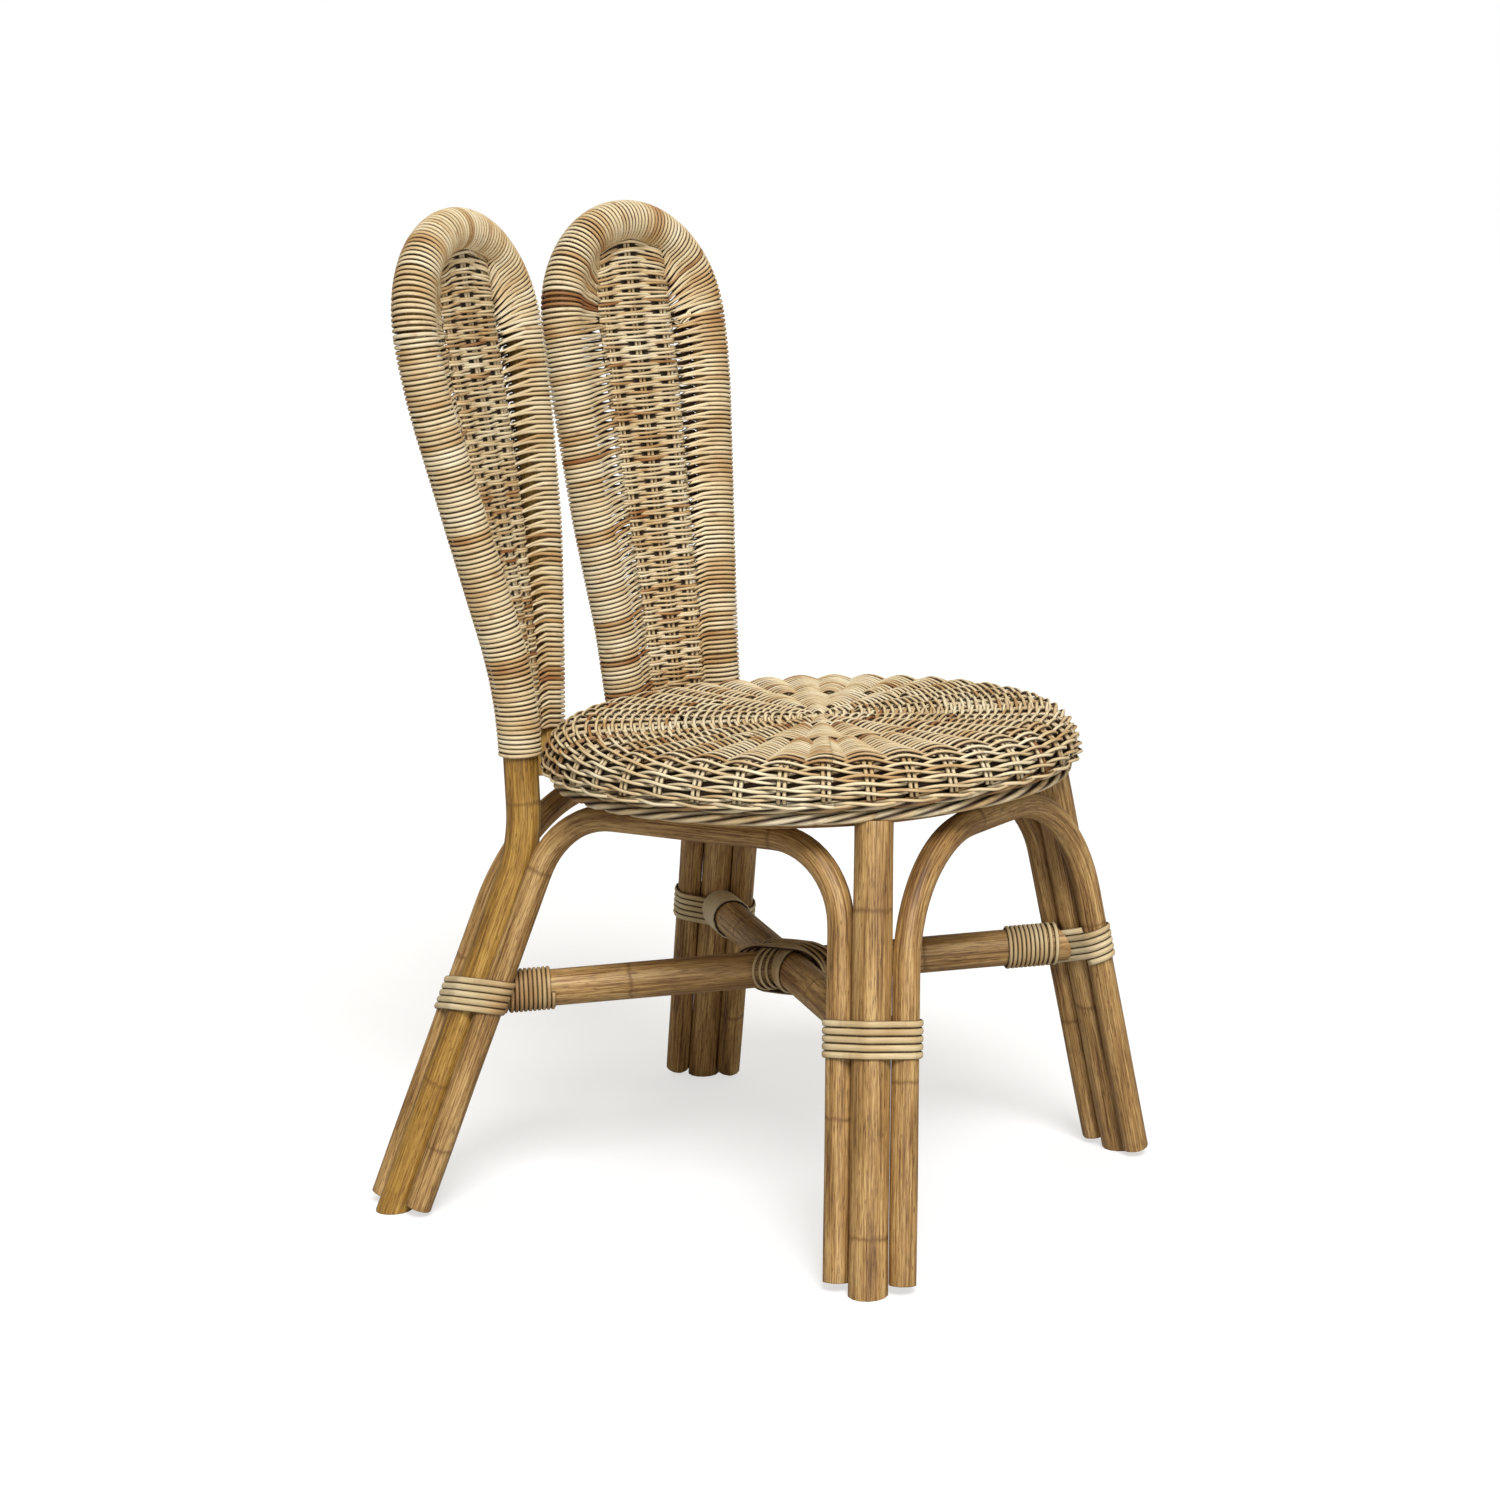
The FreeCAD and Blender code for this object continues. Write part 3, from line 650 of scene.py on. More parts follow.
class Leg:
    """The main pole of a leg on the +X side and the arch poles that stand beside it."""

    def __init__(self, foot, top, radius, outward_angle, lashing_level):
        self.foot = foot
        self.top = top
        self.radius = radius
        self.axis = unit(top - foot)
        level_out = np.array([math.cos(outward_angle), math.sin(outward_angle), 0])
        self.outward = squared(level_out, self.axis)
        self.row = np.cross(self.axis, self.outward)
        self.spacing = radius + ARCH_POLE_RADIUS
        self.inset = radius - ARCH_POLE_RADIUS
        self.sideways = math.sqrt(self.spacing ** 2 - self.inset ** 2)
        self.lashed = self.at(lashing_level)

    def at(self, level):
        return self.foot + self.axis * ((level - self.foot[2]) / self.axis[2])

    def beside(self, along, level):
        start = self.foot + self.row * (along * self.sideways) - self.outward * self.inset
        return start + self.axis * ((level - start[2]) / self.axis[2])


front_leg = Leg(FRONT_FOOT, FRONT_TOP, FRONT_POLE_RADIUS, -ROW_ANGLE, FRONT_LASHING_LEVEL)
back_leg = Leg(BACK_FOOT, BACK_TOP, BACK_POLE_RADIUS, ROW_ANGLE, BACK_LASHING_LEVEL)
LEGS = {"front": front_leg, "back": back_leg}


def make_arch(name, bend, *ends):
    """An arch; each of its ends is a leg, a side of that leg's main pole and a side of the chair."""
    low, high = [[mirrored(leg.beside(along, level), side) for leg, along, side in ends]
                 for level in (ARCH_FOOT_LEVEL, ARCH_LEVEL)]
    line = rounded([low[0], *high, low[1]], [bend] * 2)
    make_pole(name + "_pole", line, ARCH_POLE_RADIUS, POLE, [name], chance.uniform(0, RING_SPACING))


def make_front_leg(side_name):
    ends = [front_leg.at(-FOOT_TRIM), front_leg.at(FRONT_TOP[2])]
    line = evenly(mirrored(ends, SIDES[side_name]), POLE_STEP)
    make_pole(f"{side_name}_front_pole", line, FRONT_POLE_RADIUS, POLE, [f"{side_name}_front_leg"],
              FRONT_RINGS[side_name])


# Back loops

EAR_CROWN = EAR_TOP - WRAP_RADIUS
EAR_RISE = EAR_CROWN - SEAT_TOP
INNER_BASE_Y = math.sqrt(RAIL_RADIUS ** 2 - EAR_INNER_X ** 2)
INNER_END = np.array([EAR_INNER_X, INNER_BASE_Y, UNDERSIDE + EAR_END_RISE])


def rail_point(rail, rise, flare, lean):
    if rail == "outer":
        base, out, back = back_leg.top, EAR_FLARE_OUT, EAR_LEAN_OUT
    else:
        base, out, back = INNER_END, -EAR_FLARE_IN, EAR_LEAN_IN
    return np.array([base[0] + flare * out, base[1] + lean * back, SEAT_TOP + rise * EAR_RISE])


class Dome:
    """The round top of a loop."""

    def __init__(self):
        outer = rail_point("outer", DOME_RISE_SHARE, 1, 1)
        inner = rail_point("inner", DOME_RISE_SHARE, 1, 1)
        self.radius = np.linalg.norm(outer - inner) / 2
        self.across = unit(outer - inner)
        lean = math.atan2(EAR_LEAN_IN, DOME_RISE_SHARE * EAR_RISE)
        backward = np.array([0, math.cos(lean), -math.sin(lean)])
        self.up = unit(np.cross(self.across, backward))
        self.centre = (outer + inner) / 2
        self.centre[2] = EAR_CROWN - self.radius * self.up[2]

    def at(self, degrees, reach=1.0):
        turn = math.radians(degrees)
        return self.centre + (self.across * math.cos(turn) + self.up * math.sin(turn)) * (
            self.radius * reach)


dome = Dome()
DOME_LEVEL = dome.at(0)[2]


def ear_pole_line():
    """The main pole of a back leg, over the top of its loop and down to the hoop again."""
    outer = [rail_point("outer", *shares) for shares in OUTER_RAIL_SHARES]
    over = [dome.at(angle, 1 / math.cos(math.radians(DOME_CORNER)))
            for angle in (DOME_CORNER, 90, 180 - DOME_CORNER)]
    inner = [rail_point("inner", *shares) for shares in INNER_RAIL_SHARES]
    bends = [BACK_BEND_RADIUS] + [EAR_BEND_RADIUS] * 2 + [dome.radius] * 3 + [EAR_BEND_RADIUS] * 3
    return rounded([back_leg.at(-FOOT_TRIM), back_leg.top, *outer, *over, *inner, INNER_END], bends)


def ear_wrap_line():
    line = ear_pole_line()
    return evenly(line[line[:, 2] > EAR_WRAP_START], WRAP_PATH_STEP)


wrap_line = ear_wrap_line()
crown = int(np.argmax(wrap_line[:, 2]))
outer_rail = wrap_line[:crown + 1]
inner_rail = wrap_line[crown:][::-1]


def rail_at(rail, level):
    return read_off(rail, rail[:, 2], level)


def loop_middle(points):
    """The point in the loop that each point of its frame looks towards."""
    level = np.minimum(points[:, 2], DOME_LEVEL)
    middle = (rail_at(outer_rail, level) + rail_at(inner_rail, level)) / 2
    return np.where(points[:, 2:] > DOME_LEVEL, dome.centre, middle)


def stake_shares(level):
    """How far across the field each pair of stakes stands at a level."""
    high = np.clip((level - EAR_WRAP_START) / (DOME_LEVEL - EAR_WRAP_START), 0, 1)
    return LOW_STAKE_SHARES * (1 - high) + HIGH_STAKE_SHARES * high


def tip_reach(points, rail):
    """How far the winding reaches towards the nearest stakes, beside each point of a rail."""
    level = np.minimum(points[:, 2], DOME_LEVEL)
    gap = np.linalg.norm(rail_at(outer_rail, level) - rail_at(inner_rail, level), axis=1)
    shares = np.array([stake_shares(z) for z in level])
    share = shares[:, 0] if rail == "outer" else 1 - shares[:, -1]
    rise = np.clip((points - dome.centre) @ dome.up / dome.radius, 0, 0.98)
    reach = gap * (0.5 - (0.5 - share) / np.sqrt(1 - rise ** 2)) - TIP_GAP
    return np.maximum(reach, WRAP_RADIUS * 1.02)


def drawn_section(away, meet, far):
    """Where a drawn strand runs, in and to the front, and the way it faces.

    It leaves the frame's roll on a tangent, bends, and ends at a tip close to the stakes.
    """
    part = 1 - np.clip(np.abs(away) / meet, 0, 1)
    begin = np.stack([WRAP_LAY_RADIUS * np.cos(meet), WRAP_LAY_RADIUS * np.sin(meet)])
    fall = (begin[1] - DRAWN_BEND_HEIGHT) / np.cos(meet)
    bend = begin + np.stack([np.sin(meet), -np.cos(meet)]) * fall
    tip = np.stack([far, np.full_like(far, DRAWN_TIP_HEIGHT)])
    spot = begin * (1 - part) ** 2 + bend * 2 * part * (1 - part) + tip * part ** 2
    heading = (bend - begin) * (1 - part) + (tip - bend) * part
    heading /= np.linalg.norm(heading, axis=0)
    sign = np.where(away < 0, -1, 1)
    return spot[0], sign * spot[1], -heading[1], sign * heading[0]


def wound_section(away, far):
    """Where a wound strand runs and faces, and how far it is drawn off the frame's roll, 0 to 1.

    away is the angle from the way in to the loop's middle, and far is how far in the tips lie.
    """
    near = WRAP_LAY_RADIUS + DRAWN_START_SHARE * (far - WRAP_LAY_RADIUS)
    meet = np.arccos(np.clip(WRAP_LAY_RADIUS / near, 0, 1))
    pulled = (np.abs(away) < meet) & (far > WRAP_RADIUS * DRAWN_LEAST_SHARE)
    rolled = (WRAP_LAY_RADIUS * np.cos(away), WRAP_LAY_RADIUS * np.sin(away),
              np.cos(away), np.sin(away))
    inner, level, face_in, face_front = [
        np.where(pulled, off, on) for off, on in zip(drawn_section(away, meet, far), rolled)]
    room = np.maximum(far - WRAP_LAY_RADIUS, LEAST_DRAW)
    drawn = np.where(pulled, np.clip((inner - WRAP_LAY_RADIUS) / room, 0, 1), 0)
    return inner, level, face_in, face_front, drawn


def make_ear_wrap(side_name):
    """Cane wound round the loop's frame and drawn in, pair by pair, to the nearest stakes.

    It hangs loose on the rail nearer +X and tight on the other, as the photograph shows.
    """
    side = SIDES[side_name]
    weave = Weave(f"{side_name}_loop_winding")
    along = lengths_along(wrap_line)
    turns = int(along[-1] / WRAP_PITCH)
    ahead = tangents(wrap_line)
    inward = squared(loop_middle(wrap_line) - wrap_line, ahead)
    front = np.cross(ahead, inward)
    reach = np.concatenate([tip_reach(wrap_line[:crown], "outer"),
                            tip_reach(wrap_line[crown:], "inner")])
    first = 0
    while first < turns:
        count = min(int(chance.integers(1, 4)), turns - first)
        turn = first + np.linspace(0, count, count * WRAP_STEPS + 1)
        spot = turn / turns * along[-1]
        away = (2 * math.pi * turn + math.pi) % (2 * math.pi) - math.pi
        far = np.interp(spot, along, reach)
        inner, level, face_in, face_front, drawn = wound_section(away, far)
        rail = np.where(spot < along[crown], 1, -1)
        droop = np.where(rail == side, LOOSE_DROOP, TIGHT_DROOP) * rail * drawn
        share = np.where(rail == side, LOOSE_MEETING_SHARE, TIGHT_MEETING_SHARE)
        meeting = share * WRAP_PITCH * drawn ** DRAWN_GROWTH
        meeting = meeting * np.clip((far - WRAP_LAY_RADIUS) / FULL_DRAW, LEAST_MEETING, 1)
        pair = np.where(np.floor(turn + 0.5) % 2 == 1, 1, -1) * np.sign(away)
        shift = pair * meeting + droop + chance.uniform(-WRAP_SCATTER, WRAP_SCATTER)
        place = np.clip(spot + shift, WRAP_END_MARGIN, along[-1] - WRAP_END_MARGIN)
        in_way = unit(read_off(inward, along, place))
        front_way = unit(read_off(front, along, place))
        line = read_off(wrap_line, along, place)
        line += in_way * inner[:, None] + front_way * level[:, None]
        out = in_way * face_in[:, None] + front_way * face_front[:, None]
        weave.strand(mirrored(line, side), mirrored(out, side),
                     WRAP_STRAND * chance.uniform(*WRAP_WIDTHS) * (1 - DRAWN_TAPER * drawn),
                     WRAP_STRAND_THICKNESS)
        first += count
    weave.finish(WICKER, f"{side_name}_ear_wrap")


def field_rows():
    """Each row's places on the rails, where it begins and ends as shares, its bow and its swell."""
    for level in np.arange(EAR_WRAP_START + FIELD_RISE, DOME_LEVEL, ROW_PITCH):
        first, last = rail_at(outer_rail, level), rail_at(inner_rail, level)
        margin = FIELD_END_REACH / np.linalg.norm(last - first)
        shares = stake_shares(level)
        yield first, last, shares[0] - margin, shares[-1] + margin, 0, 0
    tight = dome.radius - WRAP_RADIUS
    first, last = rail_at(outer_rail, DOME_LEVEL), rail_at(inner_rail, DOME_LEVEL)
    for rise in np.arange(ROW_PITCH / 2, tight + DOME_ROWS_PAST, ROW_PITCH):
        end_rise = rise * (1 - DOME_ROW_BOW * rise / tight)
        half = min(dome.radius * (1 - 2 * HIGH_STAKE_SHARES[0]) + FIELD_END_REACH,
                   math.sqrt(max(tight ** 2 - end_rise ** 2, 0)) + DOME_ROW_END_REACH)
        share = half / dome.radius / 2
        to_roll = math.sqrt(max(WRAP_RADIUS ** 2 - (dome.radius - rise) ** 2, 0))
        lifted = dome.up * end_rise
        yield (first + lifted, last + lifted, 0.5 - share, 0.5 + share, rise - end_rise,
               to_roll * DOME_ROW_FORWARD)


def smooth_through(share, places, heights):
    """Heights that ease from one place to the next."""
    index = np.clip(np.searchsorted(places, share, side="right") - 1, 0, len(places) - 2)
    places, heights = np.array(places), np.array(heights)
    part = (share - places[index]) / (places[index + 1] - places[index])
    swing = np.cos(math.pi * part)
    ease = (1 - swing * np.abs(swing)) / 2
    return heights[index] + (heights[index + 1] - heights[index]) * ease


def weave_row(weave, side, k, first, last, begin, end, bow, swell):
    """The two strands of the field's row k, which pass over and under the stakes in turn."""
    across = last - first
    face = -unit(np.cross(across, [0, 0, 1]))
    over = (STAKE_RADIUS + FIELD_STRAND * 0.5) * (1 if k % 2 else -1)
    stakes = np.clip(stake_shares(first[2]), begin + STAKE_MARGIN_SHARE, end - STAKE_MARGIN_SHARE)
    share = np.linspace(begin, end,
                        max(12, int(np.linalg.norm(across) * (end - begin) / FIELD_STEP)))
    height = smooth_through(share, [begin, *stakes, end], [0, over, -over, over, 0])
    curve = np.clip(1 - ((share - (begin + end) / 2) / (end - begin) * 2) ** 2, 0, 1)
    for step in (-1, 1):
        wave = FIELD_WANDER * np.sin(11 * share + 2.3 * k + step)
        wave = wave + chance.uniform(-FIELD_SCATTER, FIELD_SCATTER)
        line = first + across * share[:, None]
        line += face * (height + swell * curve ** 0.5)[:, None]
        line += dome.up * (bow * curve + wave + step * 0.5 * FIELD_STRAND)[:, None]
        weave.strand(mirrored(line, side), mirrored(face, side),
                     FIELD_STRAND * chance.uniform(*FIELD_WIDTHS), FIELD_STRAND, both=True)


def make_ear_panel(side_name):
    """The woven field of a loop: its rows, its pairs of stakes and a dark sheet of painted shade
    between them.
    """
    side = SIDES[side_name]
    weave = Weave(f"{side_name}_loop_weave")
    for k, row in enumerate(field_rows()):
        weave_row(weave, side, k, *row)
    top = dome.at(90)[2] - WRAP_RADIUS + STAKE_TOP_REACH
    levels = np.linspace(EAR_WRAP_START, top, STAKE_POINTS)
    held = np.minimum(levels, DOME_LEVEL)
    first, last = rail_at(outer_rail, held), rail_at(inner_rail, held)
    rise = dome.up * (levels - held)[:, None]
    stakes = [first + (last - first) * shares[:, None] + rise for shares in
              np.array([stake_shares(level) for level in held]).T]
    for stake in stakes:
        for step in (-1, 1):
            line = stake + unit(last - first) * (step * STAKE_SPREAD)
            weave.strand(mirrored(line, side), [0, -1, 0], 2 * STAKE_RADIUS, both=True)
    weave.finish(WICKER, f"{side_name}_ear_panel")
    # A dark sheet of painted shade between each two stakes, seen through the gaps between rows.
    shade = Weave(f"{side_name}_loop_shade_sheet")
    facing = mirrored(-unit(np.cross(last - first, [0, 0, 1])), side)
    for before, after in zip(stakes, stakes[1:]):
        width = np.linalg.norm(after - before, axis=1)
        shade.strand(mirrored((before + after) / 2, side), facing, width, FIELD_SHADE_SHEET_THICKNESS,
                     sides=4)
    shade.finish(SHADE_SHEET_FINISH, f"{side_name}_ear_panel")


def make_ear(side_name):
    make_pole(f"{side_name}_back_pole", mirrored(ear_pole_line(), SIDES[side_name]), BACK_POLE_RADIUS,
              YELLOW_POLE if side_name == "left" else POLE, [f"{side_name}_ear_pole"], BACK_RING)
    make_ear_wrap(side_name)
    make_ear_panel(side_name)


# The seat

def seat_profile():
    """The line of the rows from the middle of the seat's top down its side.

    It gives the radii and levels, the ways outwards and the lengths along.
    """
    reach = SEAT_RADIUS - SEAT_FLAT_RADIUS
    turn = np.radians(np.linspace(0, 90, 16))
    shoulder = np.stack([SEAT_FLAT_RADIUS + reach * np.sin(turn),
                         SEAT_TOP - SEAT_SHOULDER_DROP * (1 - np.cos(turn))], axis=1)
    foot = [SEAT_RADIUS, SEAT_TOP - SEAT_SHOULDER_DROP - SEAT_FOOT_DROP]
    points = np.concatenate([[[MIDDLE_RADIUS, SEAT_TOP]], shoulder, [foot]])
    flat = np.concatenate([points[:, :1], np.zeros((len(points), 1)), points[:, 1:]], axis=1)
    even = evenly(flat, SEAT_PROFILE_STEP)
    ahead = tangents(even)
    out = np.stack([-ahead[:, 2], np.zeros(len(even)), ahead[:, 0]], axis=1)
    even = even - out * SEAT_INSET
    return even[:, [0, 2]], out[:, [0, 2]], lengths_along(even)


def round_points(radius, angle, level):
    """Points about the seat's axis; the weave's middle lies a little off it."""
    places = (radius * np.cos(angle), radius * np.sin(angle), level)
    line = np.stack(np.broadcast_arrays(*places), axis=1)
    off_axis = np.clip(line[:, 0] ** 2 + line[:, 1] ** 2, 0, SEAT_RADIUS ** 2) / SEAT_RADIUS ** 2
    return line + SEAT_CENTRE_SHIFT * (1 - off_axis)[:, None]


def spoke_count(radius):
    if radius > FEWER_SPOKES_RADIUS:
        return SPOKES
    return SPOKES // 2 if radius > FEWEST_SPOKES_RADIUS else SPOKES // 4


def twined_rows(weave, profile, outs, along, start, count_of_radius, steps=6):
    """Pairs of strands twined round the spokes, row by row along a profile."""
    for row in range(int((along[-1] - start) / SEAT_ROW_PITCH) + 1):
        place = start + row * SEAT_ROW_PITCH
        spokes = count_of_radius(np.interp(place, along, profile[:, 0]))
        angle = np.linspace(0, 2 * math.pi, spokes * steps + 1)
        wander = (SEAT_WANDER * np.sin(3 * angle + row)
                  + SEAT_RIPPLE * np.sin(7 * angle + 2 * row))
        for pair in (0, 1):
            phase = angle * spokes / 2 + math.pi * pair
            where = np.clip(place + wander + SEAT_SLIP * np.sin(phase), 0, along[-1])
            lift = SEAT_LIFT * np.cos(phase)
            out_r = np.interp(where, along, outs[:, 0])
            out_z = np.interp(where, along, outs[:, 1])
            radius = np.interp(where, along, profile[:, 0]) + out_r * lift
            level = np.interp(where, along, profile[:, 1]) + out_z * lift
            line = round_points(radius, angle, level)
            facing = np.stack([out_r * np.cos(angle), out_r * np.sin(angle), out_z], axis=1)
            for part in np.array_split(np.arange(len(angle)), max(2, spokes // 8)):
                part = np.append(part, min(part[-1] + 1, len(angle) - 1))
                weave.strand(line[part], facing[part],
                             SEAT_STRAND * chance.uniform(*SEAT_WIDTHS), SEAT_STRAND)


def spokes_along(weave, profile, along, begins, count):
    """Doubled spokes down a profile; begins gives where each one starts, in turn."""
    for spoke in range(count):
        angle = 2 * math.pi * spoke / count
        places = np.arange(begins[spoke % len(begins)], along[-1], SPOKE_STEP)
        radius = np.interp(places, along, profile[:, 0])
        level = np.interp(places, along, profile[:, 1])
        for step in (-1, 1):
            turn = angle + step * SPOKE_SPREAD / np.maximum(radius, SPOKE_LEAST_RADIUS)
            weave.strand(round_points(radius, turn, level), [0, 0, 1], 2 * STAKE_RADIUS)


def cross_strands(weave, level, facing):
    """The crossed strands that close the middle of the weave."""
    reach = np.linspace(-MIDDLE_REACH, MIDDLE_REACH, 9)
    for k, turn in enumerate(np.radians(np.arange(0, 180, MIDDLE_STRAND_TURN))):
        sunk = MIDDLE_STRAND_RISE * (k % 4) + MIDDLE_SINK * (reach / MIDDLE_REACH) ** 4
        height = level - facing[2] * sunk
        line = np.stack([reach * math.cos(turn), reach * math.sin(turn), height], axis=1)
        weave.strand(line + SEAT_CENTRE_SHIFT, facing, SEAT_STRAND)


def make_seat():
    profile, outs, along = seat_profile()
    top = along <= along[np.argmax(profile[:, 0] > SEAT_FLAT_RADIUS)]
    begins = [MIDDLE_RADIUS, FEWER_SPOKES_RADIUS, FEWEST_SPOKES_RADIUS, FEWER_SPOKES_RADIUS]
    weave = Weave("seat_top_rows")
    twined_rows(weave, profile[top], outs[top], along[top], TOP_ROWS_START, spoke_count)
    spokes_along(weave, profile, along, begins, SPOKES)
    cross_strands(weave, profile[0, 1] + MIDDLE_RISE, [0, 0, 1])
    weave.finish(WICKER, "seat_weave")
    rim = ~top
    weave = Weave("seat_side_rows")
    twined_rows(weave, profile[rim], outs[rim], along[rim] - along[rim][0], SIDE_ROWS_START,
                spoke_count)
    weave.finish(WICKER, "seat_weave")
    make_underside()
    make_shade_sheet(profile, outs)


def make_underside():
    weave = Weave("seat_underside_rows")
    reach = np.linspace(MIDDLE_RADIUS, UNDERSIDE_REACH, UNDERSIDE_POINTS)
    under = np.stack([reach, np.full(len(reach), UNDERSIDE_LEVEL)], axis=1)
    downward = np.tile([0.0, -1.0], (len(reach), 1))
    along = reach - reach[0]
    twined_rows(weave, under, downward, along, UNDERSIDE_ROWS_START, lambda radius: SPOKES // 2, 7)
    spokes_along(weave, under, along, [UNDERSIDE_SPOKES_START, FEWEST_SPOKES_RADIUS], SPOKES // 2)
    cross_strands(weave, UNDERSIDE_LEVEL - MIDDLE_RISE, [0, 0, -1])
    weave.finish(WICKER, "seat_weave")


def make_shade_sheet(profile, outs):
    """A dark sheet of painted shade inside the drum, seen only through the gaps between strands."""
    ring = profile[::SHADE_SHEET_SKIP] - outs[::SHADE_SHEET_SKIP] * SHADE_SHEET_INSET
    ring = ring[ring[:, 0] > SHADE_SHEET_LEAST_RADIUS]
    ring = [(0, ring[0, 1]), *ring, (UNDERSIDE_REACH, SHADE_SHEET_LEVEL), (0, SHADE_SHEET_LEVEL)]
    mesh = bpy.data.meshes.new("seat_shade_sheet")
    mesh.from_pydata([(radius, 0, level) for radius, level in ring],
                     [(k, k + 1) for k in range(len(ring) - 1)], [])
    shade_sheet = linked("seat_shade_sheet", mesh)
    deselect()
    shade_sheet.select_set(True)
    bpy.context.view_layer.objects.active = shade_sheet
    bpy.ops.object.mode_set(mode="EDIT")
    bpy.ops.mesh.select_all(action="SELECT")
    bpy.ops.mesh.spin(steps=SHADE_SHEET_SIDES, angle=2 * math.pi, center=(0, 0, 0), axis=(0, 0, 1))
    bpy.ops.mesh.select_all(action="SELECT")
    bpy.ops.mesh.remove_doubles(threshold=MERGE_DISTANCE)
    bpy.ops.mesh.normals_make_consistent(inside=False)
    bpy.ops.object.mode_set(mode="OBJECT")
    mesh.shade_smooth()
    mesh.materials.append(SHADE_SHEET_FINISH)
    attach(shade_sheet, "root")
    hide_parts("seat_weave")


def lay_rope(weave, outer, inner, low, high, strand, strands, rolls):
    """Strands laid slantwise round a ring between two radii and two levels, like rope."""
    middle_r, half_w = (outer + inner) / 2, (outer - inner - strand) / 2
    middle_z, half_h = (low + high) / 2, (high - low - strand) / 2
    angle = np.linspace(0, 2 * math.pi, ROPE_STEPS + 1)
    length = ROPE_STEPS // ROPE_LENGTHS
    for strand_index in range(strands):
        phase = 2 * math.pi * strand_index / strands + rolls * angle
        radius = middle_r + half_w * np.cos(phase)
        level = middle_z + half_h * np.sin(phase)
        line = np.stack([radius * np.cos(angle), radius * np.sin(angle), level], axis=1)
        out_r, out_z = np.cos(phase) / half_w, np.sin(phase) / half_h
        facing = np.stack([out_r * np.cos(angle), out_r * np.sin(angle), out_z], axis=1)
        begin = chance.integers(0, length)
        for part in range(ROPE_LENGTHS):
            span = (np.arange(length + 1) + begin + part * length) % ROPE_STEPS
            weave.strand(line[span], facing[span], strand * chance.uniform(*ROPE_WIDTHS),
                         strand * ROPE_THICKNESS_SHARE)


def make_border():
    """The rolled border under the seat, and the hem above it where the spokes turn in."""
    outer = BORDER_HIGH[0]
    weave = Weave("seat_border_roll")
    lay_rope(weave, outer, outer - BORDER_DEPTH, BORDER_LOW[2], BORDER_HIGH[2],
             BORDER_STRAND, BORDER_STRANDS, BORDER_ROLLS)
    weave.finish(WICKER, "seat_border")
    weave = Weave("seat_hem_roll")
    lay_rope(weave, outer + HEM_OUT, outer - HEM_IN, SEAT_LOW[2], SEAT_LOW[2] + HEM_RISE,
             HEM_STRAND, HEM_STRANDS, HEM_ROLLS)
    weave.finish(WICKER, "seat_weave")


# Stretchers and lashings

crossing_share = front_leg.lashed[0] / (front_leg.lashed[0] + back_leg.lashed[0])
crossing = mirrored(front_leg.lashed, -1) * (1 - crossing_share) + back_leg.lashed * crossing_share
lap_up = unit(np.cross([1, 0, 0], crossing - front_leg.lashed * [0, 1, 1]))


def stretcher_end(leg, side):
    centre = mirrored(leg.lashed, side)
    heading = unit(crossing - centre)
    reach = (leg.radius + LEG_CANE_BUILD) / -(heading @ mirrored(leg.outward, side))
    return centre + heading * reach, heading


def dressed_node(name):
    """A CAD node's mesh, in the pole finish, and the places of its points."""
    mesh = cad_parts[name].data
    mesh.materials.clear()
    mesh.materials.append(POLE)
    return mesh, point_places(mesh)


def make_stretcher(side_name):
    """The pole from a front leg to the back leg across; the CAD node keeps the lap."""
    side = SIDES[side_name]
    end, heading = stretcher_end(front_leg, side)
    mesh, places = dressed_node(f"{side_name}_front_stretcher")
    places = places - end
    other = np.cross(heading, lap_up)
    grain = np.stack([places @ lap_up + side, places @ other,
                      places @ heading - STRETCHER_RING], axis=1)
    give_attribute(mesh, "grain", "FLOAT_VECTOR", grain)


def make_hoop():
    """The pole hoop under the seat keeps its CAD node; its fibres run round it."""
    mesh, places = dressed_node("seat_hoop")
    radius = np.hypot(places[:, 0], places[:, 1])
    angle = np.arctan2(places[:, 1], np.abs(places[:, 0]))
    grain = np.stack([radius, places[:, 2], angle * HOOP_HIGH[0] - HOOP_RING], axis=1)
    give_attribute(mesh, "grain", "FLOAT_VECTOR", grain)


def around(outline, pitch, turns, steps):
    """A winding in the plane of an outline, climbing along its third direction.

    outline holds pairs of a centre and a radius, in order; the cane lies round them all.
    """
    ring = []
    count = len(outline)
    for k, (centre, radius) in enumerate(outline):
        before, after = np.array(outline[k - 1][0]), np.array(outline[(k + 1) % count][0])
        centre = np.array(centre)
        first = math.atan2(*(centre - before)[::-1]) - math.pi / 2
        last = math.atan2(*(after - centre)[::-1]) - math.pi / 2
        while last < first:
            last += 2 * math.pi
        for angle in np.linspace(first, last, steps):
            ring.append([centre[0] + radius * math.cos(angle), centre[1] + radius * math.sin(angle),
                         math.cos(angle), math.sin(angle)])
    rounds = np.array(ring * turns + ring[:1])
    climb = np.concatenate([[0], np.cumsum(np.linalg.norm(np.diff(rounds[:, :2], axis=0), axis=1))])
    return rounds, climb / climb[-1] * pitch * turns


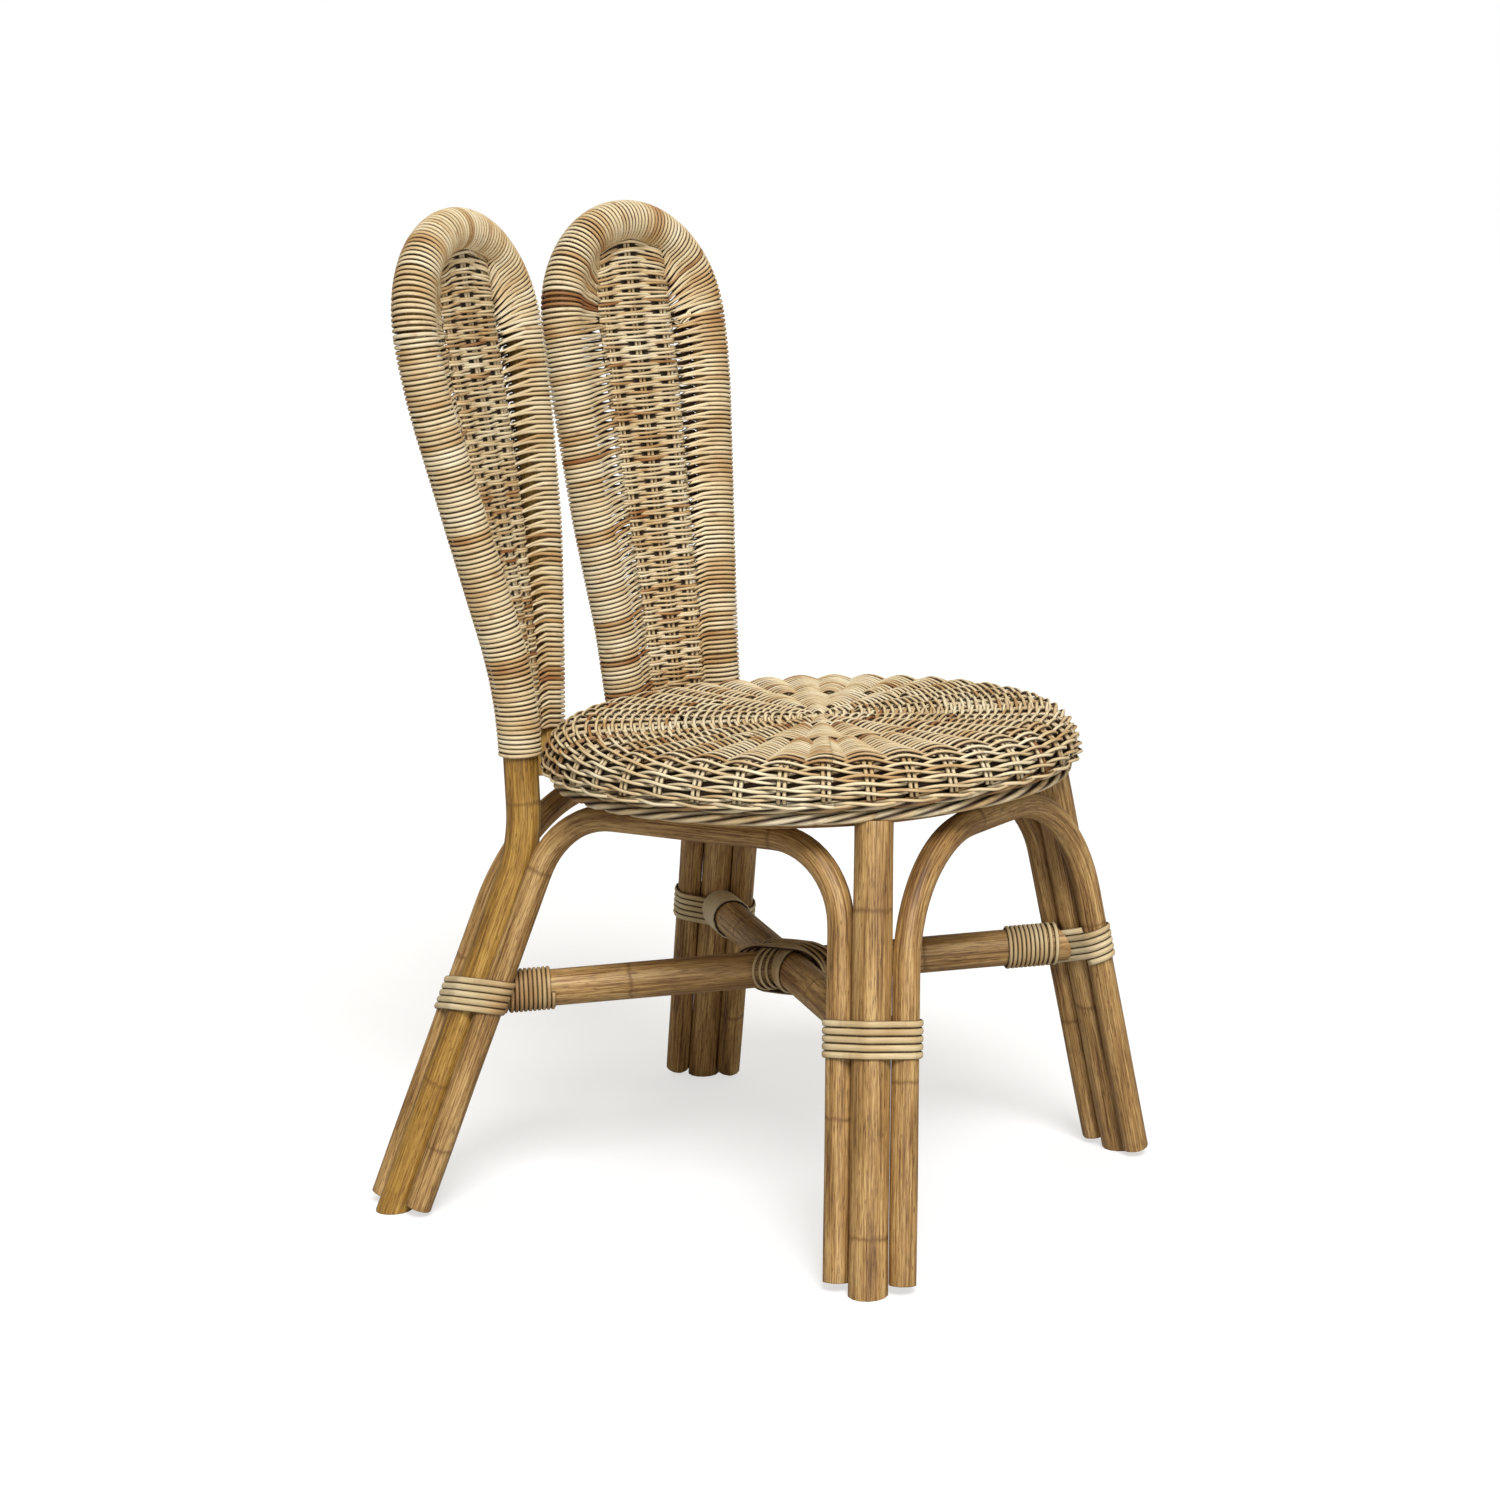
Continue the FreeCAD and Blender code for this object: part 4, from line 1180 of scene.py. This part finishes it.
def make_leg_lashings():
    """The flat cane round each leg's three poles."""
    weave = Weave("leg_lashing_bands", "cane_lashing")
    cane = CLEARANCE + LEG_CANE_THICKNESS / 2
    half_height = LEG_CANE_PITCH * LEG_CANE_TURNS / 2
    for leg_name, leg in LEGS.items():
        slim = ARCH_POLE_RADIUS + cane
        outline = [((leg.sideways, -leg.inset), slim), ((0, 0), leg.radius + cane),
                   ((-leg.sideways, -leg.inset), slim)]
        rounds, climb = around(outline, LEG_CANE_PITCH, LEG_CANE_TURNS, 8)
        for side_name, side in SIDES.items():
            outward, axis = mirrored(leg.outward, side), mirrored(leg.axis, side)
            row = np.cross(outward, axis)
            rise = climb - half_height + rounds[:, 0] * LEG_CANE_SLANTS[leg_name][side_name]
            line = (mirrored(leg.lashed, side) + rounds[:, :1] * row + rounds[:, 1:2] * outward
                    + rise[:, None] * axis)
            facing = rounds[:, 2:3] * row + rounds[:, 3:4] * outward
            weave.strand(line, facing, LEG_CANE_WIDTH, LEG_CANE_THICKNESS, 8)
    weave.finish(LASHING, "leg_lashings")


def lash_end(weave, leg, side):
    """The fine cane round a stretcher's end; its first turns, next to the leg, lie apart."""
    end, heading = stretcher_end(leg, side)
    other = np.cross(heading, lap_up)
    turn = np.linspace(0, END_CANE_TURNS, END_CANE_TURNS * 20 + 1)
    facing = 2 * math.pi * turn[:, None]
    out = np.cos(facing) * other + np.sin(facing) * lap_up
    place = np.interp(turn, (0, END_CANE_OPEN_TURNS, END_CANE_TURNS), END_CANE_PLACES)
    weave.strand(end + heading * place[:, None] + out * FINE_CANE_RING, out, END_CANE_WIDTH,
                 FINE_CANE_THICKNESS)


def lash_crossing(weave, across, depth):
    """Fine cane round both stretchers at once, where they cross; depth is how deep its loops are."""
    _, heading = stretcher_end(front_leg, SIDES["right"])
    along = np.cross(across, lap_up)
    run, drift = abs(heading @ along), abs(heading @ across)
    turn = np.linspace(0, CROSSING_CANE_TURNS, CROSSING_CANE_TURNS * 32 + 1)
    offset = (turn - CROSSING_CANE_TURNS / 2) * CROSSING_CANE_PITCH
    facing = 2 * math.pi * turn
    apart = np.abs(offset) * drift / run * np.clip(np.cos(facing) * CROSSING_CANE_EASE, -1, 1)
    line = (crossing + across * (apart + np.cos(facing) * (depth / run))[:, None]
            + lap_up * (np.sin(facing) * depth)[:, None] + along * offset[:, None])
    out = across * np.cos(facing)[:, None] + lap_up * np.sin(facing)[:, None]
    weave.strand(line, out, CROSSING_CANE_WIDTH, FINE_CANE_THICKNESS)


def make_stretcher_lashings():
    weave = Weave("stretcher_lashing_bands", "cane_lashing")
    for leg in LEGS.values():
        for side in SIDES.values():
            lash_end(weave, leg, side)
    sideways = np.array([1.0, 0, 0])
    lash_crossing(weave, sideways, FINE_CANE_RING)
    lash_crossing(weave, np.cross(lap_up, sideways), FINE_CANE_RING + FINE_CANE_THICKNESS)
    weave.finish(LASHING, "stretcher_lashings")


make_arch("front_arch", CROSS_ARCH_BEND_RADIUS, (front_leg, -1, -1), (front_leg, -1, 1))
make_arch("back_arch", CROSS_ARCH_BEND_RADIUS, (back_leg, 1, -1), (back_leg, 1, 1))
for side_name, side in SIDES.items():
    make_front_leg(side_name)
    make_arch(f"{side_name}_arch", SIDE_ARCH_BEND_RADIUS, (front_leg, 1, side), (back_leg, -1, side))
    make_stretcher(side_name)
    make_ear(side_name)
make_seat()
make_border()
make_leg_lashings()
make_stretcher_lashings()
make_hoop()


# Studio

FLOOR_SIZE = 30
FLOOR_GREY = 0.45
FLOOR_GLOW = 0.62
SKY_COLOUR = (1, 0.92, 0.79, 1)
SKY_STRENGTH = 0.36
WHITE = (1, 1, 1, 1)
LAMP_AIM = Vector((0, 0, 0.3))
LAMPS = {"key": ("SUN", (-1.3, -1.2, 2.2), {"energy": 2.75, "angle": 0.4}),
         "fill": ("AREA", (-1.4, -2.0, 0.25), {"energy": 15, "size": 1.4})}
CAMERA_PLACE = Vector((-1.61579, -1.06021, 0.64194))
CAMERA_TARGET = Vector((-0.06222, 0.00368, 0.29622))
CAMERA_ROLL = math.radians(-2.054)
CAMERA_SENSOR = 36
CAMERA_LENS = 74.73


def make_floor():
    """Pale paper that the camera sees as white, and that keeps the chair's shadow."""
    deselect()
    bpy.ops.mesh.primitive_plane_add(size=FLOOR_SIZE, location=(0, 0, 0))
    floor = bpy.context.object
    floor.name = "studio_floor"
    paper = new_finish("studio_paper")
    seen = paper.node("ShaderNodeLightPath", {}, {}, "Is Camera Ray")
    floor.data.materials.append(paper.use(
        Base_Color=(FLOOR_GREY, FLOOR_GREY, FLOOR_GREY, 1), Roughness=1.0, Emission_Color=WHITE,
        Emission_Strength=seen * FLOOR_GLOW, Specular_IOR_Level=0.0))


def make_sky():
    """Soft warm light from all round, which the camera sees as white."""
    world = bpy.data.worlds.new("studio")
    bpy.context.scene.world = world
    sky = Finish(world, "Background")
    sky.use(Color=SKY_COLOUR, Strength=SKY_STRENGTH)
    light = Wire(sky, sky.shader.outputs[0])
    plain = sky.node("ShaderNodeBackground", {}, {"Color": WHITE, "Strength": 1.0})
    seen = sky.node("ShaderNodeLightPath", {}, {}, "Is Camera Ray")
    choice = sky.node("ShaderNodeMixShader", {}, {0: seen, 1: light, 2: plain})
    sky.tree.links.new(choice.socket, sky.tree.nodes["World Output"].inputs["Surface"])


def make_lamps():
    for name, (kind, place, settings) in LAMPS.items():
        light = bpy.data.lights.new(name, kind)
        for setting, value in settings.items():
            setattr(light, setting, value)
        lamp = linked(name, light)
        lamp.location = place
        lamp.rotation_euler = (LAMP_AIM - lamp.location).to_track_quat("-Z", "Y").to_euler()


def make_camera():
    data = bpy.data.cameras.new("camera")
    data.sensor_width = CAMERA_SENSOR
    data.lens = CAMERA_LENS
    camera = linked("camera", data)
    forward = (CAMERA_TARGET - CAMERA_PLACE).normalized()
    right = forward.cross(Vector((0, 0, 1))).normalized()
    up = right.cross(forward)
    turn, tilt = math.cos(CAMERA_ROLL), math.sin(CAMERA_ROLL)
    rolled = Matrix((right * turn + up * tilt, up * turn - right * tilt, -forward)).transposed()
    camera.matrix_world = Matrix.Translation(CAMERA_PLACE) @ rolled.to_4x4()
    bpy.context.scene.camera = camera


make_floor()
make_sky()
make_lamps()
make_camera()
bpy.context.scene.view_settings.view_transform = "Standard"
